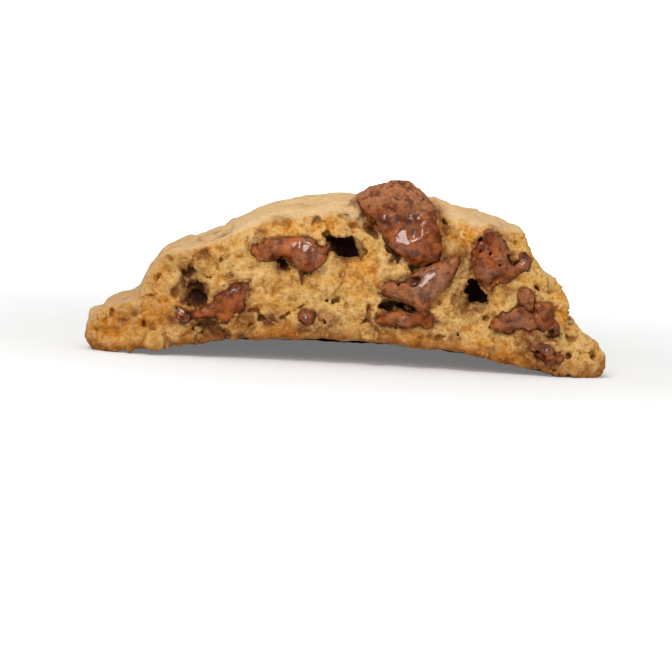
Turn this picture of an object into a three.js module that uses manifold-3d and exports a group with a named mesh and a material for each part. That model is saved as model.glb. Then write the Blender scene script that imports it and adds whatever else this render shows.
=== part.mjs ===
// Half of a thick, soft chocolate chip cookie that was torn through the middle while still warm.
//
// +X runs along the tear, +Y points away from the torn face and into the cookie, and +Z is up.
// The half stands on the flat ring under its rim, and its underside is arched, as a warm half
// sags over what it was laid on. Its chocolate chunks are separate pieces in pockets of the dough.
// Every size is in millimetres.

import * as THREE from "three";
import { ImprovedNoise } from "three/addons/math/ImprovedNoise.js";
import { mergeVertices } from "three/addons/utils/BufferGeometryUtils.js";
import Module from "manifold-3d";

const wasm = await Module();
wasm.setup();

// The whole cookie
const COOKIE_RADIUS = 54.2; // to the outer edge of the foot
const CROWN_HEIGHT = 35.2;
const CENTRE_BEHIND_TEAR = 5; // the tear misses the middle of the cookie by this much
const SKIN_DETAIL = 15; // splits along an edge of the icosahedron that the skin is shaped from
const OUT_OF_ROUND = 0.018; // share of the radius by which the back is out of round
const EDGE_DROP = 3.0; // how far the crust bends down to the tear
const EDGE_ROLL = 15; // and over what distance behind it

// Mounds of dough that ran together in the oven
const MOUND = { size: 17, height: 1.9, mean: 0.4 };
const WRINKLE = { size: 7, height: 0.9 };
const CALM_SHARE = 0.25; // share of their height at the tear
const CALM_FRONT = 26; // and how far behind it they reach their full height

// The torn face
const FACE = { width: 116, height: 44, thickness: 40, columns: 64, rows: 25 };
const FACE_LEAN = 0.05; // the face leans back by this much for each millimetre of height
const FACE_TURN = { from: 42, depth: 3.4, over: 12 }; // the ends of the face curl back
const CLUMPS = [
  { size: 10.5, height: 1.7 },
  { size: 5.8, height: 1.1 },
];
const SWELL = { size: 13, height: 1.3 };

// Chunks and their pockets
const POCKET_GAP = 0.4; // air between a chunk and its pocket
const RIM_STANDS_OUT = 0.5; // a lobe's rim is this far in front of the middle of the crags
const CHUNK_FULLNESS = 0.8; // 1 is an ellipsoid, and less is fuller at its edges
const CHUNK_WAVE = 0.09; // unevenness of a chunk, as a share of its size
const CHUNK_WAVE_SIZE = 0.5; // how far apart its bumps are, as a share of its half width

// The skin of the cookie, from the crown out to the rim and back in under it. Each point is
// [share of the radius, height], and both sides have the same features in the same order:
// crown, shoulder, waist, foot, rim, the flat ring that it stands on, and the arch.
const ARCH = [[0.96, 0], [0.9, 0], [0.8, 0.7], [0.62, 2.5], [0.42, 4.1], [0.2, 4.9], [0, 5]];
const LEFT_SIDE = [
  [0, CROWN_HEIGHT], [0.13, 34.9], [0.27, 34.1], [0.4, 31.9], [0.52, 28.6], [0.63, 25.9], [0.715, 22.6],
  [0.775, 17.8], [0.825, 13.6], [0.88, 12.2], [0.94, 10.6], [0.985, 7.2], [1, 3.6], [0.985, 1],
];
const RIGHT_SIDE = [
  [0, CROWN_HEIGHT], [0.15, 35.1], [0.3, 34.6], [0.44, 33.9], [0.56, 32.7], [0.645, 30.8], [0.69, 26.4],
  [0.75, 22.4], [0.812, 18.8], [0.857, 14.6], [0.9, 11], [0.958, 7.6], [1, 4], [0.99, 1.1],
];

// Chunks in the torn face. A chunk is one or more rounded lobes that ran together. at is a lobe's
// middle, [x, z], and its outline runs counterclockwise round that, as seen from the front. front is
// how far the lobe stands out of its rim, back how deep it reaches in, and sink how far its rim is
// pushed in.
const FACE_CHUNKS = {
  chocolate_crown: [
    { at: [9.9, 30.2], front: 2.6, back: 11.5, sink: 0.3, around: 18, rings: 10,
      outline: [[-9.1, 3.8], [-5.8, 0.8], [-3.6, -0.8], [-1.6, -4.3], [1.6, -6.6], [5, -8.8], [7.6, -8.2],
        [9.1, -5.8], [7.6, -1.6], [7, 1.4], [4.6, 5.9], [0.4, 8.8], [-4.4, 7.9], [-8.4, 5.8]] },
  ],
  chocolate_stretched: [
    { at: [14.4, 18.1], front: 2.4, back: 6, sink: 0, around: 16, rings: 9,
      outline: [[-8.3, -0.9], [-6, -2.9], [-2.4, -3.1], [1.1, -5.5], [2.6, -3.5], [5.4, -1], [8.2, 3.4],
        [7.8, 5.4], [5, 4.2], [2.4, 2.4], [-1.6, 2.1], [-4.2, 0.5]] },
  ],
  chocolate_low: [
    { at: [11.8, 10.5], front: 1.5, back: 6, sink: 0,
      outline: [[-6.1, -0.6], [-3.8, -1.4], [-1.2, -1.7], [2, -1.3], [6.1, -1.1], [6, 0.6], [3, 0.6],
        [0.2, 1.3], [-2.8, 1.6], [-4.7, 1]] },
  ],
  chocolate_upper_left: [
    { at: [-12.3, 23.6], front: 1.7, back: 6, sink: 0.3, around: 16,
      outline: [[-8.1, 1], [-7.6, -1.2], [-4.9, -2], [-2, -1.5], [0.2, -2], [2.6, -4.6], [4.6, -4.7],
        [6.2, -2.6], [7.7, -0.4], [7.4, 1.1], [5, 1.8], [1, 2.1], [-4.8, 1.7]] },
  ],
  chocolate_lower_left: [
    { at: [-24.1, 13], front: 1.6, back: 6, sink: 0.4,
      outline: [[-3.2, -0.4], [-2.3, -3.3], [-0.6, -5.3], [1.4, -2.8], [2.6, -1.5], [2.8, 0.4], [3.5, 2.5],
        [3.5, 4.1], [1.8, 4.1], [-0.8, 3.1], [-3.1, 1.9]] },
    { at: [-29.5, 10.6], front: 1.2, back: 4.5, sink: 0.3, around: 12, rings: 7,
      outline: [[-2.9, -0.7], [-2.6, -2.1], [-1, -1.7], [1, -1.1], [3.3, -1.1], [2.8, 2.1], [1.1, 1.3],
        [-0.9, 0.6]] },
  ],
  chocolate_curl: [
    { at: [-33.5, 8.8], front: 1.5, back: 2.4, sink: 0, around: 10, rings: 7,
      outline: [[-2.2, 0.2], [-1.2, -1.6], [0.8, -1.8], [2.2, -0.2], [1.2, 1.6], [-1, 1.7]] },
  ],
  chocolate_upper_right: [
    { at: [30.8, 22.9], front: 1.9, back: 6.5, sink: 0.3, around: 16, rings: 9,
      outline: [[-5.9, 0.4], [-4.6, -3.2], [-1.8, -6.2], [0, -3.5], [3, -3], [5.8, -1.4], [5.6, 0.4],
        [2.5, 1.2], [0.6, 3.9], [-2.2, 6.2], [-4.6, 5.3], [-5.8, 2.6]] },
  ],
  chocolate_lower_right: [
    { at: [34.4, 10.7], front: 1.7, back: 5, sink: 0.3,
      outline: [[-4.4, -1.2], [-2.6, -1.9], [-0.4, -1.6], [1.8, -2.1], [3.6, -2.9], [4.2, -1.6], [3.8, 0.4],
        [1.8, 2], [-0.9, 2.9], [-3, 1.7]] },
  ],
  chocolate_flake: [
    { at: [36.4, 15.1], front: 1.1, back: 2.6, sink: 0, around: 9, rings: 6,
      outline: [[-1.5, 1], [-1.1, -0.7], [0.2, -1.7], [1.5, -1.6], [1.2, 0.7], [0, 1.8]] },
  ],
  chocolate_side_right: [
    { at: [41, 11.6], front: 1.3, back: 4, sink: 0.3, around: 12, rings: 7,
      outline: [[-2.6, 3.7], [-2.1, 0.9], [-1.3, -1.1], [-0.2, -3], [1.4, -3.7], [2.6, -3.2], [1.8, -1.3],
        [0.9, 0.6], [0.1, 2.3], [-1.2, 3.5]] },
  ],
  chocolate_foot_right: [
    { at: [40.9, 5], front: 1.3, back: 4.2, sink: 0.3, around: 12, rings: 7,
      outline: [[-3.9, 0.6], [-2.9, -0.6], [-1.2, -1.6], [1.6, -1.9], [3.9, -1.6], [2.8, -0.1], [1.1, 1.2],
        [-0.9, 1.9], [-2.7, 1.7]] },
  ],
  chocolate_bead: [
    { at: [-8.2, 9.2], front: 1.3, back: 2.6, sink: 0, around: 10, rings: 7,
      outline: [[-1.9, 0.2], [-1.2, -1.4], [0.6, -1.7], [1.9, -0.2], [1.2, 1.5], [-0.8, 1.6]] },
  ],
};

// Chips in the crust. at is [degrees round from +X, share of the way from the crown to the base],
// and each stands out of the crust by rise.
const CRUST_CHIPS = {
  chocolate_crust_1: { at: [132, 0.28], radius: 5.4, rise: 1.5 },
  chocolate_crust_2: { at: [67, 0.29], radius: 6, rise: 1.8 },
  chocolate_crust_3: { at: [98, 0.35], radius: 5, rise: 1.7 },
  chocolate_crust_4: { at: [33, 0.33], radius: 4.6, rise: 1.4 },
  chocolate_crust_5: { at: [152, 0.41], radius: 4, rise: 1.2 },
};
const CHIP = { depth: 4, corners: 7, least: 0.85, spread: 0.25, step: 0.04, around: 12, rings: 7 };

// Open holes that the tear left, where crumb pulled away or a chunk fell out. Same terms as a lobe.
const HOLES = [
  { at: [-2.3, 24.8], front: 5, back: 8.5,
    outline: [[-3.9, 1.5], [-1.8, -1.7], [0, -2.8], [2.6, -1.9], [3.9, 0], [2.9, 2.3], [0.3, 1.5],
      [-2.1, 2.9]] },
  { at: [27.3, 16.3], front: 5, back: 8.5,
    outline: [[-2.3, 0.9], [-0.6, -1.2], [1.1, -3.5], [2.5, -2.5], [2, 0.4], [0, 2.3], [-2, 3.3]] },
  { at: [25.2, 13.9], front: 4, back: 3,
    outline: [[-2.6, 1.4], [-1.2, -1.1], [1.6, -1.9], [2.6, -0.4], [0.4, 1.7]] },
  { at: [-31.2, 14], front: 5, back: 7,
    outline: [[-3.7, 0.2], [-2.1, -2.7], [1.2, -2.9], [4.2, -1.7], [2.2, 1], [-0.4, 3.2], [-2.4, 2.5]] },
  { at: [-33.4, 18.2], front: 4, back: 4.5,
    outline: [[-2.3, 0.9], [-0.8, -0.9], [1, -2.4], [2.2, -1.2], [1.9, 0.9], [0.1, 2.1]] },
  { at: [-28.4, 7.4], front: 4, back: 4.2,
    outline: [[-3.6, 0.2], [-2.2, -1.6], [1, -1.9], [3.1, -1], [2.8, 1], [0, 1.4], [-2.4, 1.3]] },
  { at: [-13.8, 20.2], front: 4, back: 5.5,
    outline: [[-2.6, 0.6], [-1.4, -1.4], [1.2, -1.4], [2.7, -0.2], [1.2, 1.3], [-1.2, 1.6]] },
  { at: [11.6, 12.6], front: 4, back: 7.5,
    outline: [[-5.8, 0.4], [-3, -1.2], [2, -1.2], [5.6, -1.5], [4.2, 0.4], [1, 1.4], [-3.4, 1.6]] },
  { at: [4.3, 29.2], front: 3, back: 4.5,
    outline: [[-1.7, 1], [-0.6, -1.4], [0.8, -1.8], [1.9, -0.4], [1.2, 1.5]] },
];
const HOLE = { sink: 0, around: 11, rings: 7 };

// Colours and finishes
const CRUMB = { color: 0xc89650, roughness: 0.9, metalness: 0 };
const CHOCOLATE = { color: 0x8a4a28, roughness: 0.25, metalness: 0 };

// Seeds, so that no two patterns repeat each other
const SEED = { face: 0, mounds: 20, chips: 11 };

const perlin = new ImprovedNoise();
const NOISE_SWING = 0.7; // the noise stays within about this much of 0
const OFF_GRID = 0.3; // the noise is 0 at whole numbers, so each place is moved off them
const clamp01 = (value) => THREE.MathUtils.clamp(value, 0, 1);
const smooth = (value) => THREE.MathUtils.smoothstep(value, 0, 1);

// A fixed number from 0 to 1 for each whole-numbered place and seed. The primes keep the sums apart.
const chance = (i, j, seed) => THREE.MathUtils.seededRandom(i * 9973 + j * 131 + seed * 7919);

// Smooth waves from about -1 to 1, each about size across.
function waves(x, y, z, size) {
  const [a, b, c] = [x, y, z].map((place) => place / size + OFF_GRID);
  return perlin.noise(a, b, c) / NOISE_SWING;
}

// Rounded clumps with creases between them, from -1 in a crease to 1 on top of a clump. Every cell of
// a grid has one clump at a random place, and a crease runs where two clumps are equally near.
const CREASE_SHARPNESS = 1.3;
function clumps(a, b, size, seed) {
  const [i, j] = [Math.floor(a / size), Math.floor(b / size)];
  let nearest = Infinity;
  let second = Infinity;
  for (let p = i - 1; p <= i + 1; p++) {
    for (let q = j - 1; q <= j + 1; q++) {
      const away = Math.hypot((p + chance(p, q, seed)) * size - a, (q + chance(p, q, seed + 1)) * size - b);
      second = Math.min(second, Math.max(nearest, away));
      nearest = Math.min(nearest, away);
    }
  }
  return 2 * Math.sqrt(clamp01((CREASE_SHARPNESS * (second - nearest)) / size)) - 1;
}

// Moves each vertex of a geometry to where place puts it, given the vertex and its uv.
function reshape(geometry, place) {
  const { position, uv } = geometry.attributes;
  const vertex = new THREE.Vector3();
  for (let i = 0; i < position.count; i++) {
    vertex.fromBufferAttribute(position, i);
    place(vertex, uv.getX(i), uv.getY(i));
    position.setXYZ(i, vertex.x, vertex.y, vertex.z);
  }
  return geometry;
}

// A closed geometry as a solid that can be joined and cut.
function solidOf(geometry) {
  const bare = geometry.clone();
  bare.deleteAttribute("normal");
  bare.deleteAttribute("uv");
  const merged = mergeVertices(bare);
  return new wasm.Manifold(
    new wasm.Mesh({
      numProp: 3,
      vertProperties: new Float32Array(merged.attributes.position.array),
      triVerts: new Uint32Array(merged.index.array),
    }),
  );
}

// A solid as a geometry, without the scraps that cutting may leave.
function geometryOf(solid) {
  const largest = solid.decompose().reduce((a, b) => (a.volume() > b.volume() ? a : b));
  const mesh = largest.getMesh();
  const geometry = new THREE.BufferGeometry();
  geometry.setAttribute("position", new THREE.BufferAttribute(mesh.vertProperties, 3));
  geometry.setIndex(new THREE.BufferAttribute(mesh.triVerts, 1));
  geometry.computeVertexNormals();
  return geometry;
}

// How far behind the plane Y = 0 the torn face lies, without its clumps of crumb.
function facePlane(x, z) {
  const turn = clamp01((Math.abs(x) - FACE_TURN.from) / FACE_TURN.over);
  const lean = FACE_LEAN * (z - CROWN_HEIGHT / 2);
  return lean + FACE_TURN.depth * turn ** 2 - SWELL.height * waves(x, 0, z, SWELL.size);
}

// How far behind the plane Y = 0 the torn face lies.
function tearDepth(x, z) {
  const crags = CLUMPS.map(({ size, height }, i) => (height / 2) * clumps(x, z, size, SEED.face + 2 * i));
  return facePlane(x, z) - crags.reduce((sum, crag) => sum + crag);
}

const [leftCurve, rightCurve] = [LEFT_SIDE, RIGHT_SIDE].map((side) => {
  const corners = [...side, ...ARCH].map(([share, height]) => new THREE.Vector2(share, height));
  return new THREE.SplineCurve(corners);
});
const RIM_AT = (LEFT_SIDE.length - 1) / (LEFT_SIDE.length + ARCH.length - 1);
const CRUST_ENDS = 0.8; // share of the way to the rim where mounds and wrinkles start to fade out
const STEEP_POWER = 3; // how late the skin turns from facing up to facing out
const STEEP_LIFT = 0.4; // share of the lift that is left where it faces out

// The skin in a direction round the cookie, at a share of the way from the crown to the base.
function skinPoint(angle, share, target) {
  const rightward = smooth((1 + Math.cos(angle)) / 2);
  const section = leftCurve.getPoint(share).lerp(rightCurve.getPoint(share), rightward);
  const behind = Math.max(0, Math.sin(angle)) ** 2;
  const wobble = OUT_OF_ROUND * behind * (Math.sin(3 * angle + 0.7) + 0.6 * Math.sin(7 * angle));
  const radius = COOKIE_RADIUS * section.x * (1 + wobble);
  const x = radius * Math.cos(angle);
  const y = radius * Math.sin(angle) + CENTRE_BEHIND_TEAR;
  const onCrust = 1 - smooth((share / RIM_AT - CRUST_ENDS) / (1 - CRUST_ENDS));
  const calm = THREE.MathUtils.lerp(CALM_SHARE, 1, smooth(y / CALM_FRONT));
  const mounds = (MOUND.height / 2) * (clumps(x, y, MOUND.size, SEED.mounds) - MOUND.mean);
  const wrinkles = WRINKLE.height * waves(x, y, section.y, WRINKLE.size);
  const lift = (mounds + wrinkles) * calm * onCrust;
  const bend = EDGE_DROP * (1 - smooth(y / EDGE_ROLL)) * (section.y / CROWN_HEIGHT) * onCrust;
  const steep = section.x ** STEEP_POWER;
  const reach = 1 + (lift * steep) / COOKIE_RADIUS;
  return target.set(
    x * reach,
    (y - CENTRE_BEHIND_TEAR) * reach + CENTRE_BEHIND_TEAR,
    Math.max(0, section.y + lift * THREE.MathUtils.lerp(1, STEEP_LIFT, steep) - bend),
  );
}

// The whole cookie, before it was torn.
function wholeCookie() {
  const ball = new THREE.IcosahedronGeometry(1, SKIN_DETAIL);
  return solidOf(
    reshape(ball, (vertex) => {
      const share = Math.acos(THREE.MathUtils.clamp(vertex.z, -1, 1)) / Math.PI;
      skinPoint(Math.atan2(vertex.y, vertex.x), share, vertex);
    }),
  );
}

// What the tear took away: a block whose back is the rough torn face.
function tornAway() {
  const { width, height, thickness, columns, rows } = FACE;
  const block = new THREE.BoxGeometry(width, thickness, height, columns, 1, rows);
  block.translate(0, -thickness / 2, height / 2 - 1);
  return solidOf(
    reshape(block, (vertex) => {
      if (vertex.y > -thickness / 2) vertex.y = tearDepth(vertex.x, vertex.z);
    }),
  );
}

// A rounded lobe about the origin, seen from the front. Its rim is its outline in the plane Y = 0.
function lobe({ outline, front, back, around = 14, rings = 8 }, grow, seed) {
  const corners = outline.map(([x, z]) => new THREE.Vector3(x, 0, z));
  const rim = new THREE.CatmullRomCurve3(corners, true, "centripetal");
  return reshape(new THREE.SphereGeometry(1, around, rings), (vertex, u, v) => {
    const depth = Math.cos((1 - v) * Math.PI);
    const width = Math.sin((1 - v) * Math.PI) ** CHUNK_FULLNESS;
    const edge = rim.getPoint(u % 1);
    const bump = 1 + CHUNK_WAVE * waves(vertex.x + seed, vertex.y, vertex.z, CHUNK_WAVE_SIZE);
    const reach = width * (bump + grow / edge.length());
    vertex.set(edge.x * reach, -depth * ((depth > 0 ? front : back) * bump + grow), edge.z * reach);
  });
}

// A lobe where it sits in the torn face, bent to the swell of the face.
function lobeInFace(shape, grow, seed) {
  const [x, z] = shape.at;
  const placed = lobe(shape, grow, seed).translate(x, shape.sink - RIM_STANDS_OUT, z);
  return solidOf(reshape(placed, (vertex) => vertex.setY(vertex.y + facePlane(vertex.x, vertex.z))));
}

// A chip in the crust, lying flat to it.
function chipInCrust({ at: [degrees, share], radius, rise }, grow, seed) {
  const angle = THREE.MathUtils.degToRad(degrees);
  const here = skinPoint(angle, share, new THREE.Vector3());
  const down = skinPoint(angle, share + CHIP.step, new THREE.Vector3()).sub(here).normalize();
  const side = new THREE.Vector3(-Math.sin(angle), Math.cos(angle), 0);
  const inward = new THREE.Vector3().crossVectors(side, down);
  const outline = Array.from({ length: CHIP.corners }, (_, i) => {
    const turn = (2 * Math.PI * i) / CHIP.corners;
    const reach = radius * (CHIP.least + CHIP.spread * chance(i, seed, SEED.chips));
    return [reach * Math.cos(turn), reach * Math.sin(turn)];
  });
  const shape = { outline, front: rise, back: CHIP.depth, around: CHIP.around, rings: CHIP.rings };
  const place = new THREE.Matrix4().makeBasis(down, inward, side).setPosition(here);
  return solidOf(lobe(shape, grow, seed).applyMatrix4(place));
}

// A chunk, and the same chunk grown for its pocket.
function chunk(name, shapes, makeSolid, seed) {
  const [solid, pocket] = [0, POCKET_GAP].map((grow) =>
    shapes.map((shape) => makeSolid(shape, grow, seed)).reduce((whole, part) => whole.add(part)),
  );
  return { name, solid, pocket };
}

// A named mesh in its own material.
function piece(name, solid, finish) {
  const mesh = new THREE.Mesh(geometryOf(solid), new THREE.MeshStandardMaterial(finish));
  mesh.name = name;
  return mesh;
}

const chunks = [
  ...Object.entries(FACE_CHUNKS).map(([name, lobes], i) => chunk(name, lobes, lobeInFace, i)),
  ...Object.entries(CRUST_CHIPS).map(([name, chip], i) => chunk(name, [chip], chipInCrust, i)),
];

// Where two chunks would meet, the later one gives way.
chunks.forEach((later, i) => {
  chunks.slice(0, i).forEach((earlier) => {
    const touching = later.solid.intersect(earlier.pocket).volume() > 0;
    if (touching) later.solid = later.solid.subtract(earlier.pocket);
  });
});

const openings = [
  tornAway(),
  ...chunks.map(({ pocket }) => pocket),
  ...HOLES.map((hole, i) => lobeInFace({ ...HOLE, ...hole }, 0, i)),
];
const dough = openings.reduce((whole, opening) => whole.subtract(opening), wholeCookie());

const cookie = new THREE.Group();
cookie.add(piece("dough", dough, CRUMB));
cookie.add(...chunks.map(({ name, solid }) => piece(name, solid, CHOCOLATE)));

// The origin is under the middle of the half, on what it stands on.
const box = new THREE.Box3().setFromObject(cookie);
const middle = box.getCenter(new THREE.Vector3());
cookie.position.set(-middle.x, -middle.y, -box.min.z);

export default cookie;
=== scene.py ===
# %% [markdown]
# # Half of a chocolate chip cookie
#
# This lesson dresses a measured model of a torn cookie half. The model gives the true sizes: one
# solid of baked dough, with a pocket for each chocolate chunk, and the chunks themselves. Its
# surfaces are plain facets. Real dough is crumbly inside, matte and finely wrinkled outside, and
# half-melted chocolate is smooth and wet, so each solid is turned into a fine mesh here, and every
# mesh gets its own finish.
#
# Lengths are in millimetres while shapes are worked out, and in metres in Blender.

# %% Load the measured model
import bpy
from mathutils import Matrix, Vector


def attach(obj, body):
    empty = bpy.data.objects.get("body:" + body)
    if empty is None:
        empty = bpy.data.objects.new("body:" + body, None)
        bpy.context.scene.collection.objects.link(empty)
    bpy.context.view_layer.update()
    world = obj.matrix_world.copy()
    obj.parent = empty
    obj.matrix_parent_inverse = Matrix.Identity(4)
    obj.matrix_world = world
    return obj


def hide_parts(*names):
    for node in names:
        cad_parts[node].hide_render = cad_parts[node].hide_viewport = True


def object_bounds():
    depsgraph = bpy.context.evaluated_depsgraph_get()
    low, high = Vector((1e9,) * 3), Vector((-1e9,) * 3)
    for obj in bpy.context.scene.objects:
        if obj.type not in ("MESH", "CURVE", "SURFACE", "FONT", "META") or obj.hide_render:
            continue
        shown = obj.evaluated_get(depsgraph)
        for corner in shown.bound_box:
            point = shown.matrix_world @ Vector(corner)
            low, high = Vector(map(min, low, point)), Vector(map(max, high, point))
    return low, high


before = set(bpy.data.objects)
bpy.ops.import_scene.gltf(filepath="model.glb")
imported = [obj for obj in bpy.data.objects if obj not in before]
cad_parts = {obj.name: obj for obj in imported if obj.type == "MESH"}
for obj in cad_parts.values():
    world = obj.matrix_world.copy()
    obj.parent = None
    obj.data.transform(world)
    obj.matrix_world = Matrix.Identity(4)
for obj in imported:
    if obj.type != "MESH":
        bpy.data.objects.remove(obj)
cad_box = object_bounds()

import copy
import math

import bmesh
import bpy
import numpy as np
import openvdb
from mathutils import Matrix, Vector
from mathutils.bvhtree import BVHTree

MM = 0.001
box_low, box_high = (np.array(corner) / MM for corner in cad_box)
print("box in mm", box_low.round(1), box_high.round(1))

# %% [markdown]
# ## The camera
#
# The photograph looks at the torn face from just above the table, through a long lens, and the half
# lies a few degrees turned in the picture. The camera is turned by the same amount, so that the half
# itself can stand level on the floor.

# %% Camera
TEAR_Y = box_low[1] + 3.0  # the middle of the torn face
VIEW_HEIGHT = 5.0  # degrees above level
VIEW_DISTANCE = 500.0
VIEW_WIDTH = 138.7  # width of the picture at the torn face
PICTURE_CENTRE = (-2.0, TEAR_Y, 5.95)
PICTURE_TURN = 3.17  # degrees
SENSOR_WIDTH = 36.0


def aim(thing, place, target, turn=0.0):
    """Put a camera or a lamp at a place, in mm, and point it at a target."""
    way = Vector(target) - Vector(place)
    facing = way.to_track_quat("-Z", "Y").to_matrix().to_4x4()
    turned = facing @ Matrix.Rotation(math.radians(turn), 4, "Z")
    thing.matrix_world = Matrix.Translation(Vector(place) * MM) @ turned


def make_camera():
    camera = bpy.data.objects.new("camera", bpy.data.cameras.new("camera"))
    camera.data.sensor_width = SENSOR_WIDTH
    camera.data.lens = SENSOR_WIDTH * VIEW_DISTANCE / VIEW_WIDTH
    rise = math.radians(VIEW_HEIGHT)
    x, y, z = PICTURE_CENTRE
    place = (x, y - VIEW_DISTANCE * math.cos(rise), z + VIEW_DISTANCE * math.sin(rise))
    aim(camera, place, PICTURE_CENTRE, PICTURE_TURN)
    bpy.context.scene.collection.objects.link(camera)
    bpy.context.scene.camera = camera
    return camera


camera = make_camera()
print("camera lens", round(camera.data.lens, 1), "mm")

# %% [markdown]
# ## Noise for shapes
#
# Crumb, wrinkles and melted chocolate all need irregular bumps that are the same on every run.
# Blender's displace modifier could add them, but it moves points only along their normals. Here the
# bumps are plain functions of a place in space, so they can also shape a solid from within and give
# real overhangs. Two kinds are enough: soft waves, and rounded grains packed against each other.

# %% Noise functions
HASH_PRIMES = np.array([73856093, 19349663, 83492791], dtype=np.uint32)


def chance(cell, seed):
    """A fixed number from 0 to 1 for each whole-numbered cell, given as an array of rows of three."""
    mixed = cell.astype(np.int64).astype(np.uint32) * HASH_PRIMES
    value = mixed[..., 0] ^ mixed[..., 1] ^ mixed[..., 2] ^ np.uint32(seed * 40503 + 17)
    value = (value ^ (value >> 16)) * np.uint32(0x7FEB352D)
    value = (value ^ (value >> 15)) * np.uint32(0x846CA68B)
    return (value ^ (value >> 16)).astype(np.float32) / np.float32(2**32)


def ramp(value, low, high):
    """0 below low, 1 above high, and a smooth rise between."""
    share = np.clip((value - low) / (high - low), 0.0, 1.0)
    return share * share * (3 - 2 * share)


def waves(places, size, seed):
    """Soft waves from -1 to 1, each about size across."""
    scaled = places / size
    cell = np.floor(scaled)
    share = ramp(scaled - cell, 0.0, 1.0)
    total = np.zeros(len(places), dtype=np.float32)
    for corner in np.ndindex(2, 2, 2):
        weight = np.prod(np.where(corner, share, 1 - share), axis=1)
        total += weight * chance(cell + corner, seed)
    return total * 2 - 1


def wave_height(places, wave):
    """The height of soft waves, in mm, from their size, height and seed."""
    return wave["height"] * waves(places, wave["size"], wave["seed"])


def grains(places, size, seed):
    """Rounded grains about size across: 1 in the middle of a grain, 0 in the creases."""
    scaled = places / size
    cell = np.floor(scaled)
    nearest = np.ones(len(places), dtype=np.float32)
    for step in np.ndindex(3, 3, 3):
        other = cell + step - 1
        draw = chance(other, seed)
        middle = other + np.stack([draw, draw * 97 % 1, draw * 9973 % 1], axis=-1)
        np.minimum(nearest, ((middle - scaled) ** 2).sum(axis=1), out=nearest)
    return 1 - nearest


BEND = {"size": 2.6, "reach": 0.8}


def bent(places, seeds=(1, 2, 3)):
    """Places pushed about by soft waves, one for each axis, so that no two grains look alike."""
    push = np.stack([waves(places, BEND["size"], seed) for seed in seeds], axis=-1)
    return places + BEND["reach"] * push


corners = np.array([box_low, box_high], dtype=np.float32)
print("the waves push the box's corners to", bent(corners).round(1).tolist())

# %% [markdown]
# ## Skin and torn crumb
#
# A torn cookie has two kinds of surface: the baked skin, and the crumb that the tear laid open. The
# model shows which is which by its edges, because the skin bends gently and the tear meets it at a
# sharp edge. So a walk over the faces starts on the back of the rim and stops at every sharp edge.
# Faces that the walk does not reach are torn near the front. Farther back they are the pockets of
# the chips on the crust, and count as skin.

# %% Find the skin
SKIN_BEND = math.radians(50)
FACES_TEAR = -0.55  # a face whose normal points this much towards -Y is torn
TEAR_DEPTH = 16.0  # mm behind the torn face within which a sharp-edged face is torn
FACES_FLOOR = -0.3  # a skin face whose normal points this much down baked on the tray


def sort_faces(mesh):
    """Search trees, in mm, of a mesh's torn faces, of its whole skin and of the skin below."""
    walk = bmesh.new()
    walk.from_mesh(mesh)
    bmesh.ops.remove_doubles(walk, verts=walk.verts, dist=0.001 * MM)
    start = max(walk.faces, key=lambda face: face.calc_center_median().y)
    skin = {start}
    edge_of_walk = [start]
    while edge_of_walk:
        face = edge_of_walk.pop()
        for edge in face.edges:
            if edge.calc_face_angle(math.pi) > SKIN_BEND:
                continue
            for other in edge.link_faces:
                if other not in skin and other.normal.y > FACES_TEAR:
                    skin.add(other)
                    edge_of_walk.append(other)
    corners = [vertex.co / MM for vertex in walk.verts]
    groups = {"torn": [], "skin": [], "tray": []}
    for face in walk.faces:
        in_front = face.calc_center_median().y / MM < TEAR_Y + TEAR_DEPTH
        names = ["torn"] if face not in skin and in_front else ["skin"]
        if face in skin and face.normal.z < FACES_FLOOR:
            names.append("tray")
        for name in names:
            groups[name].append([vertex.index for vertex in face.verts])
    walk.free()
    print("faces", {name: len(faces) for name, faces in groups.items()})
    return {name: BVHTree.FromPolygons(corners, faces) for name, faces in groups.items()}


dough_faces = sort_faces(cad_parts["dough"].data)


def distance_to(tree, places):
    """The distance from each place to the nearest face of a tree, in mm."""
    return np.array([tree.find_nearest(place)[3] for place in places], dtype=np.float32)


# %% [markdown]
# ## From a solid to a field and back
#
# A level set stores, for every cell of a fine grid, how far it is from the surface: negative inside
# and positive outside. Bumps are then simply added to that number, holes and overhangs come out
# clean, and the surface is read back as a new closed mesh. OpenVDB, which Blender uses for its voxel
# remesh, does both conversions.

# %% Join two distances
def join(first, second, soft):
    """The smaller of two distances, rounded off over soft mm where they meet."""
    share = np.clip(0.5 + 0.5 * (second - first) / soft, 0.0, 1.0)
    return second + (first - second) * share - soft * share * (1 - share)


print("2 mm and 2 mm join to", join(2.0, 2.0, 1.0), "mm")


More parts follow.
